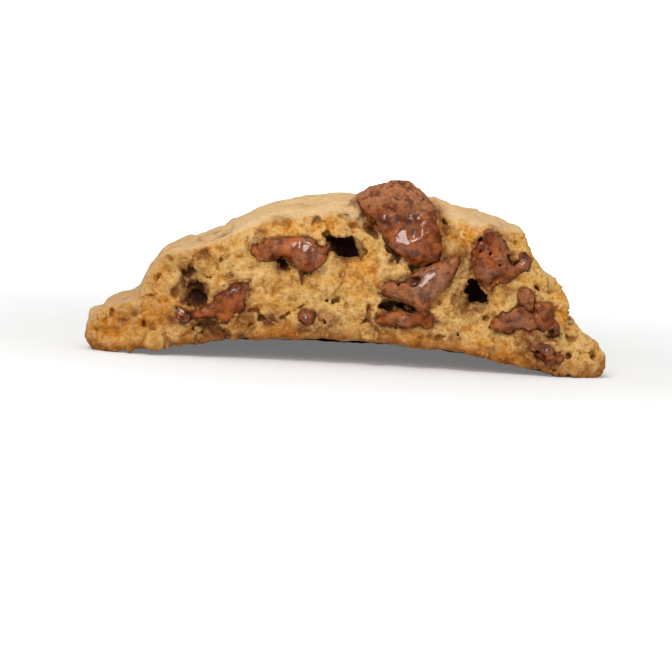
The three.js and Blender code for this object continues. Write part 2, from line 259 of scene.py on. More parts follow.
# %% Fields
class Field:
    """Distances to a surface on a grid of cubic cells."""

    def __init__(self, points, triangles, cell, band, margin=0.0):
        self.cell = cell
        transform = openvdb.createLinearTransform(voxelSize=cell)
        level_set = openvdb.FloatGrid.createLevelSetFromPolygons(
            points.astype(np.float32),
            triangles=triangles.astype(np.uint32),
            transform=transform,
            halfWidth=band / cell,
        )
        low, high = level_set.evalActiveVoxelBoundingBox()
        values = np.empty(np.array(high) - low + 1, dtype=np.float32)
        level_set.copyToArray(values, ijk=low)
        padding = round(margin / cell)
        self.low = np.array(low) - padding
        self.values = np.pad(values, padding, mode="edge")

    def blur(self, width):
        """Soften the surface over a width in mm, by three running means along each axis."""
        reach = max(1, round(width / self.cell / 2))
        for axis in (0, 1, 2) * 3:
            padding = [(reach + 1, reach) if i == axis else (0, 0) for i in range(3)]
            sums = np.cumsum(np.pad(self.values, padding, mode="edge"), axis=axis, dtype=np.float64)
            count = 2 * reach + 1
            ahead = np.take(sums, range(count, sums.shape[axis]), axis=axis)
            behind = np.take(sums, range(0, sums.shape[axis] - count), axis=axis)
            self.values = ((ahead - behind) / count).astype(np.float32)

    def near(self, reach):
        """The cells within reach of the surface."""
        return np.nonzero(np.abs(self.values) < reach)

    def places(self, cells):
        """Where cells are, in mm."""
        return (np.stack(cells, axis=-1) + self.low).astype(np.float32) * self.cell

    def at(self, points):
        """The distances at points in mm, by straight lines between the cells."""
        places = points / self.cell - self.low
        low = np.clip(np.floor(places).astype(int), 0, np.array(self.values.shape) - 2)
        share = places - low
        total = np.zeros(len(points), dtype=np.float32)
        for corner in np.ndindex(2, 2, 2):
            weight = np.prod(np.where(corner, share, 1 - share), axis=1)
            total += weight * self.values[tuple((low + corner).T)]
        return total

    def softened(self, width):
        """A softened copy with cells twice as large."""
        other = copy.copy(self)
        other.values = self.values[::2, ::2, ::2]
        other.low = self.low / 2
        other.cell = self.cell * 2
        other.blur(width)
        return other

    def stroke(self, path, radii, soft, add=True):
        """Add or take away a round stroke through the points of a path, with a radius at each."""
        path = np.array(path, dtype=np.float32)
        reach = max(radii) + 2 * soft
        low = np.floor((path.min(axis=0) - reach) / self.cell).astype(int) - self.low
        high = np.ceil((path.max(axis=0) + reach) / self.cell).astype(int) - self.low + 1
        low, high = (np.clip(corner, 0, self.values.shape) for corner in (low, high))
        axes = [(np.arange(low[i], high[i]) + self.low[i]) * self.cell for i in range(3)]
        places = np.stack(np.meshgrid(*axes, indexing="ij"), axis=-1)
        stroke = np.full(places.shape[:3], np.inf)
        for start, end, start_radius, end_radius in zip(path, path[1:], radii, radii[1:]):
            way = end - start
            share = np.clip((places - start) @ way / (way @ way), 0.0, 1.0)
            gap = np.linalg.norm(places - start - share[..., None] * way, axis=-1)
            stroke = np.minimum(stroke, gap - start_radius - (end_radius - start_radius) * share)
        region = tuple(slice(i, j) for i, j in zip(low, high))
        sign = 1 if add else -1
        self.values[region] = sign * join(sign * self.values[region], stroke, soft)

    def surface(self):
        """The surface as points in mm and faces of four corners."""
        grid = openvdb.FloatGrid(background=float(self.values.max()))
        grid.copyFromArray(self.values, ijk=tuple(int(i) for i in self.low))
        grid.transform = openvdb.createLinearTransform(voxelSize=self.cell)
        points, _, quads = grid.convertToPolygons(isovalue=0.0, adaptivity=0.0)
        return points, quads[:, ::-1]


print("a field can", [name for name in vars(Field) if not name.startswith("_")])


# %% Field of the dough
def solid_of(node):
    """A measured solid as points in mm and triangles."""
    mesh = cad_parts[node].data
    mesh.calc_loop_triangles()
    points = np.empty(len(mesh.vertices) * 3, dtype=np.float32)
    mesh.vertices.foreach_get("co", points)
    triangles = np.empty(len(mesh.loop_triangles) * 3, dtype=np.int32)
    mesh.loop_triangles.foreach_get("vertices", triangles)
    return points.reshape(-1, 3) / MM, triangles.reshape(-1, 3)


DOUGH_CELL = 0.32
DOUGH_BAND = 3.2
FACET_WIDTH = 1.1  # softening that takes the facets of the model away
dough = Field(*solid_of("dough"), DOUGH_CELL, DOUGH_BAND)
dough.blur(FACET_WIDTH)
print("dough field", dough.values.shape)

# %% [markdown]
# ## How torn, and how near to chocolate
#
# The crumb's bumps fade out where the skin begins, and they are lower beside a chunk, because the
# melted chocolate filled the creases there. So each place needs two numbers: how torn it is, from its
# distances to the skin and to the torn faces, and how far it is from chocolate. They change slowly,
# so they are worked out on every fourth cell and filled in between.

# %% Where the tear ends
TORN_BORDER = (-0.2, 1.4)  # mm from the skin's edge over which the crumb's bumps grow
BORDER_WAVES = {"size": 3.6, "height": 0.8, "seed": 5}
TOP_BAND = {"width": 0.7, "from": 25.0, "to": 31.0}  # the skin's edge tore smooth near the top
FOOT_BAND = {"width": -1.3, "from": 12.0, "to": 0.0}  # and crumbled away at the foot
FLANK_BAND = {"width": -4.5, "from": 24.0, "to": 36.0}  # and far back on the right flank
TORN_SPOTS = [  # x, z and radius of what is torn beside the crown
    (19.4, 28.4, 3.4), (22.6, 28.8, 2.8), (20.6, 25.0, 2.4), (4.2, 29.6, 2.4),
]
TORN_SPOT_DEPTH = TEAR_DEPTH / 3  # mm behind the torn face's middle to which they reach


def tree_of(nodes):
    """A search tree, in mm, of the faces of several measured solids."""
    points, faces = [], []
    for node in nodes:
        solid_points, triangles = solid_of(node)
        faces += (triangles + len(points)).tolist()
        points += solid_points.tolist()
    return BVHTree.FromPolygons(points, faces)


def torn_share(places):
    """0 on the skin, 1 on torn crumb, and a soft border between."""
    behind_edge = distance_to(dough_faces["skin"], places) - distance_to(dough_faces["torn"], places)
    band = np.zeros(len(places))
    for axis, edge in ((2, TOP_BAND), (2, FOOT_BAND), (0, FLANK_BAND)):
        band += edge["width"] * ramp(places[:, axis], edge["from"], edge["to"])
    uneven = wave_height(places, BORDER_WAVES)
    share = ramp(behind_edge - band + uneven, *TORN_BORDER)
    for x, z, radius in TORN_SPOTS:
        away = np.hypot(places[:, 0] - x, places[:, 2] - z)
        spot = ramp(radius - away + uneven, *TORN_BORDER)
        share = np.maximum(share, spot * (places[:, 1] < TEAR_Y + TORN_SPOT_DEPTH))
    return share


CHUNKS = [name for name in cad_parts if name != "dough"]
chocolate_tree = tree_of(CHUNKS)
print("chunks", len(CHUNKS))

# %% Masks
COARSE = 4  # cells between the places that are worked out
MASK_REACH = 0.9  # the share of the field's band that is worked out


def spread(values, factor, shape):
    """Fill a coarse grid in to a finer shape by straight lines between its values."""
    for axis in range(3):
        place = np.arange(shape[axis]) / factor
        low = np.minimum(place.astype(int), values.shape[axis] - 2)
        share = (place - low).reshape([-1 if i == axis else 1 for i in range(3)]).astype(np.float32)
        before, after = (np.take(values, low + step, axis=axis) for step in (0, 1))
        values = before * (1 - share) + after * share
    return values


def mask_field(field, measure):
    """A measure of places near a field's surface, on the field's own grid."""
    padded = np.pad(field.values, [(0, COARSE)] * 3, mode="edge")[::COARSE, ::COARSE, ::COARSE]
    wanted = np.abs(padded) < DOUGH_BAND * MASK_REACH
    for axis in range(3):
        wanted = wanted | np.roll(wanted, 1, axis) | np.roll(wanted, -1, axis)
    cells = np.nonzero(wanted)
    places = (np.stack(cells, axis=-1) * COARSE + field.low) * field.cell
    shares = np.zeros(padded.shape, dtype=np.float32)
    shares[cells] = measure(places)
    print(measure.__name__, "worked out at", len(places), "places")
    return spread(shares, COARSE, field.values.shape)


def chocolate_distance(places):
    return distance_to(chocolate_tree, places)


torn = mask_field(dough, torn_share)
from_chocolate = mask_field(dough, chocolate_distance)

# %% [markdown]
# ## The torn front
#
# Places on the torn face are given as seen from the front: x to the right, z up, and a depth behind
# the face. The face leans back a little towards its top, and its two ends curl back.

# %% Places on the torn face
TEAR_LEAN = 0.05
TEAR_MIDDLE = 17.6
TEAR_ENDS = {"from": 42.0, "to": 54.0, "back": 3.4}


def tear_y(x, z):
    """Where the mean torn face is, at x and z."""
    ends = TEAR_ENDS["back"] * ramp(np.abs(x), TEAR_ENDS["from"], TEAR_ENDS["to"])
    return TEAR_Y + TEAR_LEAN * (z - TEAR_MIDDLE) + ends


def on_tear(x, z, depth=0.0):
    return (x, tear_y(x, z) + depth, z)


def depth_of(points):
    """How far points lie behind the torn face, in mm."""
    return points[:, 1] - tear_y(points[:, 0], points[:, 2])


print("the torn face leans back", round(float(tear_y(0, box_high[2]) - tear_y(0, 0)), 1), "mm")

# %% [markdown]
# ## Hollows, pits and lumps of the dough
#
# The model has the large hollows as plain pockets. Their ragged rims, smaller pits, and the clumps
# that stand out of the torn face are added to the field as round strokes: a pit takes one away, and
# a lump adds one. Each is a path of x, z and depth behind the torn face, with its radii. Sculpting
# by hand would also do, but a stroke can be moved by a millimetre and stays part of the lesson.

# %% Hollows
HOLLOWS = [
    ([(-5.4, 26.4, 0.2), (-3.0, 25.2, 1.5), (0.8, 23.6, 1.5)], [1.2, 2.1, 2.5]),
    ([(-3.2, 24.6, 2.0), (-0.4, 23.6, 4.5)], [2.4, 2.4]),
    ([(24.6, 19.4, 1.0), (25.8, 16.9, 1.4), (27.2, 13.8, 1.4)], [1.0, 2.0, 1.5]),
    ([(25.4, 17.6, 2.5), (26.8, 15.4, 4.5)], [1.9, 1.9]),
    ([(22.0, 14.8, 0.5), (24.6, 13.2, 0.7)], [1.1, 1.4]),
    ([(-34.2, 19.4, 0.4), (-33.0, 17.4, 0.9), (-32.6, 14.8, 1.2)], [1.1, 1.1, 1.5]),
    ([(-35.0, 13.6, 0.6), (-32.0, 13.2, 1.6), (-28.6, 11.8, 1.2)], [1.2, 2.4, 1.5]),
    ([(-33.8, 18.6, 0.8), (-32.2, 16.6, 1.4), (-30.6, 14.6, 1.6)], [1.0, 1.2, 1.5]),
    ([(-33.4, 11.4, 0.8), (-30.0, 11.0, 1.2)], [0.9, 1.0]),
    ([(-30.6, 8.0, 0.6), (-27.6, 7.4, 1.0), (-25.6, 6.4, 0.8)], [0.9, 1.1, 0.9]),
    ([(6.0, 12.5, 0.7), (9.0, 13.9, 1.1), (13.4, 14.0, 1.1), (17.2, 12.2, 0.7)], [1.2, 1.6, 1.5, 0.8]),
    ([(7.4, 12.9, 2.6), (14.0, 13.0, 3.4)], [1.6, 1.5]),
    ([(7.6, 25.8, 0.6), (9.4, 23.4, 1.3), (12.4, 21.2, 0.9)], [1.0, 1.7, 1.1]),
    ([(3.4, 30.8, 0.4), (4.4, 29.2, 1.8), (5.4, 27.4, 0.9)], [0.9, 1.7, 0.8]),
    ([(35.4, 7.2, 0.8), (37.4, 6.9, 2.0), (39.6, 7.5, 1.8)], [0.9, 1.6, 1.3]),
    ([(-15.0, 21.4, 0.6), (-12.8, 20.8, 1.6), (-11.2, 20.2, 1.2)], [1.0, 1.6, 1.0]),
    ([(22.6, 26.4, 0.5), (23.8, 24.0, 1.0)], [0.6, 1.1]),
]
RIM_CUTS = [  # notches in the right flank, and what rounds off the two tips
    ([(46.6, 13.6, -3.0), (46.2, 13.4, 2.0), (46.0, 13.4, 6.0)], [1.6, 1.4, 0.4]),
    ([(47.8, 17.0, -4.0), (47.6, 17.0, 3.0), (47.4, 17.0, 9.0)], [2.7, 2.4, 1.0]),
    ([(47.2, 15.2, -4.0), (47.1, 15.2, 3.0), (47.0, 15.2, 8.0)], [2.0, 1.8, 0.6]),
    ([(55.8, 7.2, -3.0), (55.8, 7.2, 9.0)], [2.2, 2.2]),
    ([(55.6, -0.4, -3.0), (55.6, -0.4, 9.0)], [2.2, 2.2]),
    ([(-55.2, 10.8, -3.0), (-55.2, 10.8, 9.0)], [2.9, 2.9]),
]
CLEFTS = [  # narrow gaps between clumps
    ([(-32.0, 19.6, 0.4), (-30.4, 17.6, 0.8)], [0.8, 1.0]),
    ([(19.4, 6.9, 0.4), (22.2, 7.4, 0.7), (25.0, 6.8, 0.4)], [0.4, 0.7, 0.5]),
    ([(-20.4, 7.4, 0.4), (-17.4, 8.4, 0.7), (-12.4, 9.8, 0.7)], [0.6, 0.8, 0.7]),
]
print("hollows", len(HOLLOWS), "rim cuts", len(RIM_CUTS), "clefts", len(CLEFTS))

# %% Pits and lumps
PITS = [  # x, z, depth and radius
    (-43.7, 8.6, 0.2, 1.1), (-29.9, 22.6, 0.2, 0.9), (-16.2, 29.7, 0.2, 0.6), (-7.2, 29.8, 0.3, 0.6),
    (-14.8, 9.0, 0.8, 1.0), (-30.4, 5.2, 0.8, 0.9), (-26.6, 4.6, 0.8, 0.9), (-21.4, 5.2, 0.8, 1.0),
    (-4.0, 9.2, 1.0, 1.5), (51.2, 4.4, -0.2, 1.4), (48.6, 4.6, 0.4, 0.7), (38.6, 17.9, 0.2, 0.9),
    (44.9, 7.1, 0.3, 0.8), (33.5, 16.6, 0.6, 1.1), (-39.4, 15.4, 0.4, 0.6), (-22.6, 14.6, 0.6, 0.8),
]
LUMPS = [
    (-26.0, 19.0, 0.8, 2.0), (-23.4, 17.6, 1.0, 1.5), (-38.5, 13.0, 1.2, 2.4), (-50.0, 5.5, 1.6, 2.6),
    (21.5, 24.2, 1.1, 1.5), (30.9, 13.4, 0.8, 1.5), (29.4, 5.9, 1.0, 1.4), (-4.0, 16.5, 1.6, 2.6),
    (5.0, 19.5, 1.6, 2.4), (20.5, 11.5, 1.5, 2.2), (43.5, 15.0, 1.5, 2.2), (-17.0, 17.4, 1.3, 2.0),
    (24.0, 28.0, 1.6, 2.2), (-2.5, 28.0, 1.6, 2.2), (-20.5, 21.5, 1.5, 1.9), (-51.6, 7.4, 2.2, 1.9),
]
COLLAR = [  # dough that rises against the crown chunk on both sides
    ([(-3.0, 32.0, 3.0), (0.8, 32.8, 2.6), (2.6, 34.0, 3.0)], [1.4, 1.5, 0.9]),
    ([(16.4, 34.6, 3.0), (18.8, 33.2, 3.0), (23.0, 31.0, 3.4)], [0.9, 1.6, 1.3]),
    ([(3.0, 33.6, 6.0), (6.4, 34.2, 11.0), (11.4, 34.2, 12.0), (15.6, 33.4, 8.0)], [1.4, 1.6, 1.6, 1.4]),
]
print("pits", len(PITS), "lumps", len(LUMPS), "collar strokes", len(COLLAR))

# %% Draw the strokes
SOFT_EDGE = 0.9
COLLAR_SOFTNESS = 3.0


def stroke_all(field, strokes, softness, add):
    for points, radii in strokes:
        field.stroke([on_tear(*point) for point in points], radii, softness, add)


def balls(places):
    """Short strokes for round pits and lumps, given as x, z, depth and radius."""
    return [([(x, z, depth), (x, z, depth + radius / 3)], [radius] * 2) for x, z, depth, radius in places]


stroke_all(dough, COLLAR, COLLAR_SOFTNESS, add=True)
stroke_all(dough, balls(LUMPS), SOFT_EDGE, add=True)
for strokes in (HOLLOWS, RIM_CUTS, CLEFTS, balls(PITS)):
    stroke_all(dough, strokes, SOFT_EDGE, add=False)
print("deepest value of the field", round(float(dough.values.min()), 2), "mm")

# %% [markdown]
# ## Dough that clings to the chocolate
#
# The model leaves a narrow gap round each chunk. In the oven the dough baked onto the chocolate, so
# here the dough swells over the gap and laps over the chunk's edge here and there.

# %% Clinging dough
CLING = {"swell": 0.7, "more on the crust": 0.7, "reach": (0.3, 2.0), "cells within": 1.6}
CLING_WAVES = {"size": 2.1, "height": 1.0, "seed": 45}
near_surface = np.abs(dough.values) < CLING["cells within"]
cells = np.nonzero(near_surface & (from_chocolate < CLING["reach"][1]))
places = dough.places(cells)
swell = CLING["swell"] + wave_height(places, CLING_WAVES)
swell += CLING["more on the crust"] * (places[:, 1] > TEAR_Y + TEAR_DEPTH)
dough.values[cells] -= swell * (1 - ramp(from_chocolate[cells], *CLING["reach"]))
print("dough clings at", len(cells[0]), "places")

# %% [markdown]
# ## Crumb
#
# Torn dough breaks along its bubbles and between its clumps, so its surface is clumps on clumps:
# some about 6 mm across, smaller ones on those, and grains of less than 1 mm. Four sizes of rounded
# grains are added up, bent by soft waves so that no two look alike, and small bubbles are sunk in.

# %% Crumb relief
CLUMPS = [
    {"size": 6.6, "height": 1.00, "seed": 11},
    {"size": 3.1, "height": 0.62, "seed": 21},
    {"size": 1.6, "height": 0.52, "seed": 31},
    {"size": 0.9, "height": 0.46, "seed": 36},
]
RAGGED = [{"size": 1.9, "height": 0.20, "seed": 14}, {"size": 0.8, "height": 0.13, "seed": 15}]
CLUMP_MEAN = 0.62  # the mean of the rounded grains
BUBBLES = {"size": 2.2, "depth": 1.1, "from": 0.56, "to": 0.78, "seed": 41}
NEAR_CHOCOLATE = {"share": 0.6, "from": 0.2, "to": 1.8}


def crumb_relief(places):
    """How far the crumb stands out of its mean surface, in mm."""
    pushed = bent(places)
    relief = np.zeros(len(places), dtype=np.float32)
    for clump in CLUMPS:
        relief += clump["height"] * (grains(pushed, clump["size"], clump["seed"]) - CLUMP_MEAN)
    for wave in RAGGED:
        relief += wave_height(places, wave)
    bubble = ramp(waves(places, BUBBLES["size"], BUBBLES["seed"]), BUBBLES["from"], BUBBLES["to"])
    return relief - BUBBLES["depth"] * bubble


def crumb_creases(places):
    """1 in the creases between the finer clumps, 0 on their crests."""
    pushed = bent(places)
    crests = sum(clump["height"] * grains(pushed, clump["size"], clump["seed"]) for clump in CLUMPS[1:])
    return 1 - crests / sum(clump["height"] for clump in CLUMPS[1:])


def crumb_strength(torn, from_chocolate):
    """1 in open crumb, less beside chocolate, and 0 on the skin."""
    near = NEAR_CHOCOLATE
    away = ramp(from_chocolate, near["from"], near["to"])
    return torn * (near["share"] + (1 - near["share"]) * away)


print("clump sizes in mm", [clump["size"] for clump in CLUMPS])

# %% Torn crumb
CRUMB_REACH = (-2.7, 1.0)  # the cells that the crumb can change, by their distance to the surface
TORN_LEAST = 0.01  # a smaller share counts as skin
low, high = CRUMB_REACH
cells = np.nonzero((dough.values > low) & (dough.values < high) & (torn > TORN_LEAST))
relief = crumb_relief(dough.places(cells))
dough.values[cells] -= crumb_strength(torn[cells], from_chocolate[cells]) * relief
print("crumb worked out at", len(cells[0]), "places")

# %% [markdown]
# ## Baked skin
#
# The skin dried and stretched in the oven. It has shallow swells where clumps sit under it, a faint
# pebbling, a few fine cracks, and shallow creases between plates that dried first. All stay around
# half a millimetre, so that the skin looks smooth next to the crumb.

# %% Skin relief
SWELLS = [
    {"size": 9.0, "height": 0.42, "seed": 51},
    {"size": 4.2, "height": 0.26, "seed": 54},
    {"size": 2.0, "height": 0.15, "seed": 52},
    {"size": 0.95, "height": 0.10, "seed": 53},
]
CRACKS = {"size": 7.0, "depth": 0.55, "width": 0.07, "few": 0.4, "seed": 61}
PLATES = {"size": 5.2, "depth": 0.42, "low": 0.25, "high": 0.55, "seed": 64}


def skin_relief(places):
    """How far the baked skin stands out of its mean surface, in mm."""
    relief = sum(wave_height(places, swell) for swell in SWELLS)
    crack = 1 - ramp(np.abs(waves(places, CRACKS["size"], CRACKS["seed"])), 0, CRACKS["width"])
    where = ramp(waves(places, CRACKS["size"] * 2, CRACKS["seed"] + 1), 0.0, CRACKS["few"])
    plates = grains(bent(places), PLATES["size"], PLATES["seed"])
    between = 1 - ramp(plates, PLATES["low"], PLATES["high"])
    return relief - CRACKS["depth"] * crack * where - PLATES["depth"] * between


SKIN_REACH = 1.0  # mm from the surface within which the skin's relief can move it
cells = np.nonzero((np.abs(dough.values) < SKIN_REACH) & (torn < 1 - TORN_LEAST))
dough.values[cells] -= (1 - torn[cells]) * skin_relief(dough.places(cells))
print("skin worked out at", len(cells[0]), "places")

# %% [markdown]
# ## Back to a mesh
#
# The field's surface is read back as one closed mesh. It is far finer than the skin needs, so the
# smallest triangles are merged: this keeps most of them in the crumb, where the shape is busiest.
# Blender's decimate modifier does that merging, and its result is kept as the piece's own mesh.

# %% Make a piece
def make_piece(name, points, faces, nodes, slot):
    """A Blender object from points in mm and faces, kept inside the measured box."""
    mesh = bpy.data.meshes.new(name)
    mesh.from_pydata((np.clip(points, box_low, box_high) * MM).tolist(), [], faces.tolist())
    piece = bpy.data.objects.new(name, mesh)
    bpy.context.scene.collection.objects.link(piece)
    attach(piece, "root")
    if nodes:
        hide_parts(*nodes)
    return piece


def thin_out(piece, triangles):
    """Merge the smallest triangles until about this many are left."""
    now = sum(len(face.vertices) - 2 for face in piece.data.polygons)
    if now > triangles:
        decimate = piece.modifiers.new("thin", "DECIMATE")
        decimate.ratio = triangles / now
        shown = piece.evaluated_get(bpy.context.evaluated_depsgraph_get())
        mesh = bpy.data.meshes.new_from_object(shown)
        piece.modifiers.clear()
        piece.data = mesh
    piece.data.shade_smooth()
    left = sum(len(face.vertices) - 2 for face in piece.data.polygons)
    print(piece.name, "had", now, "triangles and now has", left)


# %% Dough piece
def points_of(piece):
    """The points of a piece, in mm."""
    points = np.empty(len(piece.data.vertices) * 3, dtype=np.float32)
    piece.data.vertices.foreach_get("co", points)
    return points.reshape(-1, 3) / MM


def normals_of(piece):
    normals = np.empty(len(piece.data.vertices) * 3, dtype=np.float32)
    piece.data.vertex_normals.foreach_get("vector", normals)
    return normals.reshape(-1, 3)


def keep_largest(points, faces):
    """Drop the loose scraps that bubbles may cut off."""
    owner = np.arange(len(points))
    while True:
        lowest = owner[faces].min(axis=1)
        before = owner.copy()
        for corner in range(faces.shape[1]):
            np.minimum.at(owner, faces[:, corner], lowest)
        owner = owner[owner]
        if (owner == before).all():
            break
    kept = owner == np.bincount(owner).argmax()
    renumber = np.cumsum(kept) - 1
    return points[kept], renumber[faces[kept[faces[:, 0]]]]


DOUGH_TRIANGLES = 195000
cookie = make_piece("torn_dough", *keep_largest(*dough.surface()), ["dough"], "baked_dough")
thin_out(cookie, DOUGH_TRIANGLES)
print("dough", len(cookie.data.polygons), "faces")

# %% [markdown]
# ## Sinking shoulders
#
# Warm dough sinks where nothing holds it up, more at some places along the tear than at others. A
# lattice could push the mesh down, but a short list of places along x, each with its millimetres, is
# exact. The front sinks with its chocolate, so the chunks go through the same function later on.

# %% Sag
SAG = [  # x and how far the shoulder sinks there, both in mm
    (-56, 0), (-50, 0.3), (-45, 0.9), (-43.4, 1.3), (-41.6, -0.4), (-39, -0.6), (-36.5, 0), (-33, 1.2),
    (-24, 1.4), (-16, 0.2), (-8, 0.1), (1, 0.1), (4, 0.9), (6, 0.8), (9, 0.6), (13, 0.6), (17, -0.4),
    (20, 0), (30, -0.4), (33, 0.2), (36, -1), (40, 0.2), (41.6, -0.1), (43.4, -0.9), (44.8, 0.3),
    (46, 2.0), (48, 1.5), (50, 2.2), (53, 1.2), (56, 0),
]
SAG_HEIGHT = (4.0, 14.0)  # mm above the floor between which the sag grows
SAG_FADE = (-10.0, 10.0)  # mm in front of the middle between which it grows


def sag(piece):
    """Let the dough's shoulders sink."""
    points = points_of(piece)
    share = ramp(points[:, 2], *SAG_HEIGHT) * ramp(-points[:, 1], *SAG_FADE)
    points[:, 2] -= share * np.interp(points[:, 0], *zip(*SAG))
    piece.data.vertices.foreach_set("co", (np.clip(points, box_low, box_high) * MM).ravel())
    piece.data.update()


print("deepest sag", max(drop for _, drop in SAG), "mm")

# %% [markdown]
# ## Where the colour changes
#
# The finish of the dough follows its shape, so each point of the mesh carries a few numbers that the
# material reads: how torn it is, how deep it lies in a crease or in any cavity, for a painted shade
# there and a painted light on the crests, how much painted shade its hollow and the crumb around it
# get, how much chocolate soaked into it, with a painted shade right beside each chunk, how golden
# butter made it, and how brown it baked on the tray. Painting such masks by hand would also work, but
# these stay right when the shape changes.

# %% Stains, golden zones and painted shade round the hollows
STAINS = [  # x, z and radius of the stains that chocolate left
    (-31.0, 12.5, 5.5), (-28.0, 5.0, 6.5), (-13.8, 20.2, 3.2), (-14.6, 9.5, 4.0), (-4.2, 8.7, 4.2),
    (5.5, 9.0, 3.0), (25.5, 14.5, 5.0), (38.0, 8.0, 6.0), (-43.9, 8.4, 1.9), (-46.3, 6.8, 1.5),
    (13.5, 23.0, 3.0), (22.8, 24.6, 2.6), (22.5, 7.0, 1.9), (33.2, 16.6, 3.0), (5.0, 29.6, 2.6),
    (-2.2, 22.5, 3.0), (-30.0, 22.4, 1.5), (-18.0, 26.8, 2.0), (12.0, 12.8, 3.6), (2.4, 32.6, 2.2),
    (17.6, 32.0, 2.0), (9.4, 23.6, 2.4), (-21.0, 8.0, 3.0),
]
GOLDEN = [  # x, z and radius of the zones where butter shows in the crumb
    (2.5, 20.5, 6.0), (-38.5, 10.0, 7.0), (-48.5, 4.5, 6.0), (26.0, 4.6, 6.0), (33.0, 3.6, 5.0),
    (-15.5, 4.6, 5.0), (14.0, 5.4, 6.0), (24.5, 27.5, 4.0), (-29.5, 24.0, 3.5), (-40.0, 16.5, 3.5),
    (52.0, 3.6, 2.0), (-17.0, 27.0, 4.0), (-5.0, 29.8, 4.0), (-13.0, 29.0, 3.0), (43.0, 13.0, 3.0),
]
SHADE_ROUND_HOLLOWS = [  # x, z and radius of the painted shade round the hollows
    (-32.2, 12.6, 3.4), (-33.4, 17.8, 2.0), (-30.8, 15.2, 2.2), (-12.8, 20.8, 2.0), (-25.0, 5.6, 2.4),
    (-24.4, 2.8, 2.2), (-28.8, 8.6, 2.0), (26.2, 15.4, 2.6), (12.4, 13.2, 2.2), (4.8, 29.6, 1.6),
    (38.2, 6.8, 1.5), (39.6, 8.0, 1.5), (36.8, 15.0, 1.3), (-16.0, 8.2, 1.5), (8.8, 23.0, 1.5),
    (7.2, 13.0, 1.7), (-0.8, 24.4, 2.6),
]
SPOT_SOFTNESS = 0.9  # the share of its radius over which a spot fades


def spots_share(points, spots, uneven, softness=SPOT_SOFTNESS):
    """1 in round spots and 0 outside, with borders made uneven by a share of the radius."""
    share = np.zeros(len(points))
    for x, z, radius in spots:
        away = np.hypot(points[:, 0] - x, points[:, 2] - z)
        share = np.maximum(share, ramp(radius * (1 + uneven) - away, 0.0, radius * softness))
    return share


print("stains", len(STAINS), "golden zones", len(GOLDEN), "dark surroundings", len(SHADE_ROUND_HOLLOWS))

# %% Shares of soaking, browning, gold and painted shade
# the rim right beside a chunk is both soaked chocolate and a painted shade
SOAKED = {"reach": 1.7, "rim": (1.1, 0.5), "rim_waves": 0.3, "depth": (12.0, 8.0)}
SOAKED_WAVES = {"size": 2.4, "height": 1.0, "seed": 71}
STAIN = {"share": 0.85, "uneven": 0.4, "softness": 0.75}
TRAY_BROWN = (4.2, 0.2)  # mm from the tray's face between which the brown grows
BROWN_END = {"share": 0.36, "from": 20.0, "to": 42.0}  # mm left of the middle
BROWN_FOOT = {"share": 0.5, "height": (12.0, 1.0), "behind": (1.0, 8.0)}
FOOT_WAVES = {"size": 5.0, "height": 2.0, "seed": 76}
GOLDEN_WAVES = {"size": 3.4, "height": 0.5, "seed": 74}
SHADE_ROUND_HOLLOWS_WAVES = [{"size": 1.8, "height": 0.8, "seed": 77}, {"size": 0.8, "height": 0.56, "seed": 78}]


def write_numbers(piece, **numbers):
    """Store one number for each point of a piece, by name."""
    for name, values in numbers.items():
        attribute = piece.data.attributes.new(name, "FLOAT", "POINT")
        attribute.data.foreach_set("value", np.asarray(values, dtype=np.float32))


def falling(value, start, end):
    """0 beyond start, and a smooth rise to 1 where the value falls to end."""
    return ramp(-value, -start, -end)


def soaked_share(points, from_chocolate):
    """How much chocolate went into the crumb: beside the chunks and in the stains, and in a rim right at
    each chunk's edge that is both soak and painted shade.
    """
    patchy = wave_height(points, SOAKED_WAVES)
    beside = falling(from_chocolate - patchy, SOAKED["reach"], 0.0)
    # a rim right at the chunk's edge: soaked chocolate and a painted shade
    rim = falling(from_chocolate - SOAKED["rim_waves"] * patchy, *SOAKED["rim"])
    stained = STAIN["share"] * spots_share(points, STAINS, STAIN["uneven"] * patchy, STAIN["softness"])
    front = falling(depth_of(points), *SOAKED["depth"])
    return np.maximum(np.maximum(beside, rim), stained) * front


def browned_share(points):
    """How brown the dough is: baked brown most on the tray and some at the foot, and browner towards the
    left end.
    """
    tray = falling(distance_to(dough_faces["tray"], points), *TRAY_BROWN)
    end = BROWN_END["share"] * ramp(-points[:, 0], BROWN_END["from"], BROWN_END["to"])
    height = points[:, 2] + wave_height(points, FOOT_WAVES)
    foot = BROWN_FOOT["share"] * falling(height, *BROWN_FOOT["height"])
    foot *= ramp(points[:, 1] - TEAR_Y, *BROWN_FOOT["behind"])
    return np.maximum(np.maximum(tray, end), foot)


def golden_share(points):
    """How golden the crumb is."""
    return spots_share(points, GOLDEN, wave_height(points, GOLDEN_WAVES))


def dark_share(points):
    """How much painted shade a place gets round the hollows."""
    return spots_share(points, SHADE_ROUND_HOLLOWS, sum(wave_height(points, wave) for wave in SHADE_ROUND_HOLLOWS_WAVES))


print("the brown of the tray reaches up", TRAY_BROWN[0], "mm")

# %% Numbers on the dough's points
CAVITY_WIDTH = 1.7  # mm over which the surface is softened to find what lies deeper than around it
CAVITY_SHADE_DEPTHS = (0.05, 0.40)  # mm below the softened surface at which a cavity's painted shade starts and ends
CREASE_SHADE = (0.12, 0.62)  # the share of crease at which the painted crease shade starts and ends
DEEP_HOLLOW_SHADE_DEPTHS = (1.8, 5.0)  # mm behind the torn face over which a hollow gets its painted shade
HOLLOW_RIM = (2.5, 4.5)  # mm from the skin within which it gets no painted shade
SHADE_ROUND_HOLLOWS_DEPTH = 10.0  # mm behind the torn face to which the painted shade round the hollows reaches


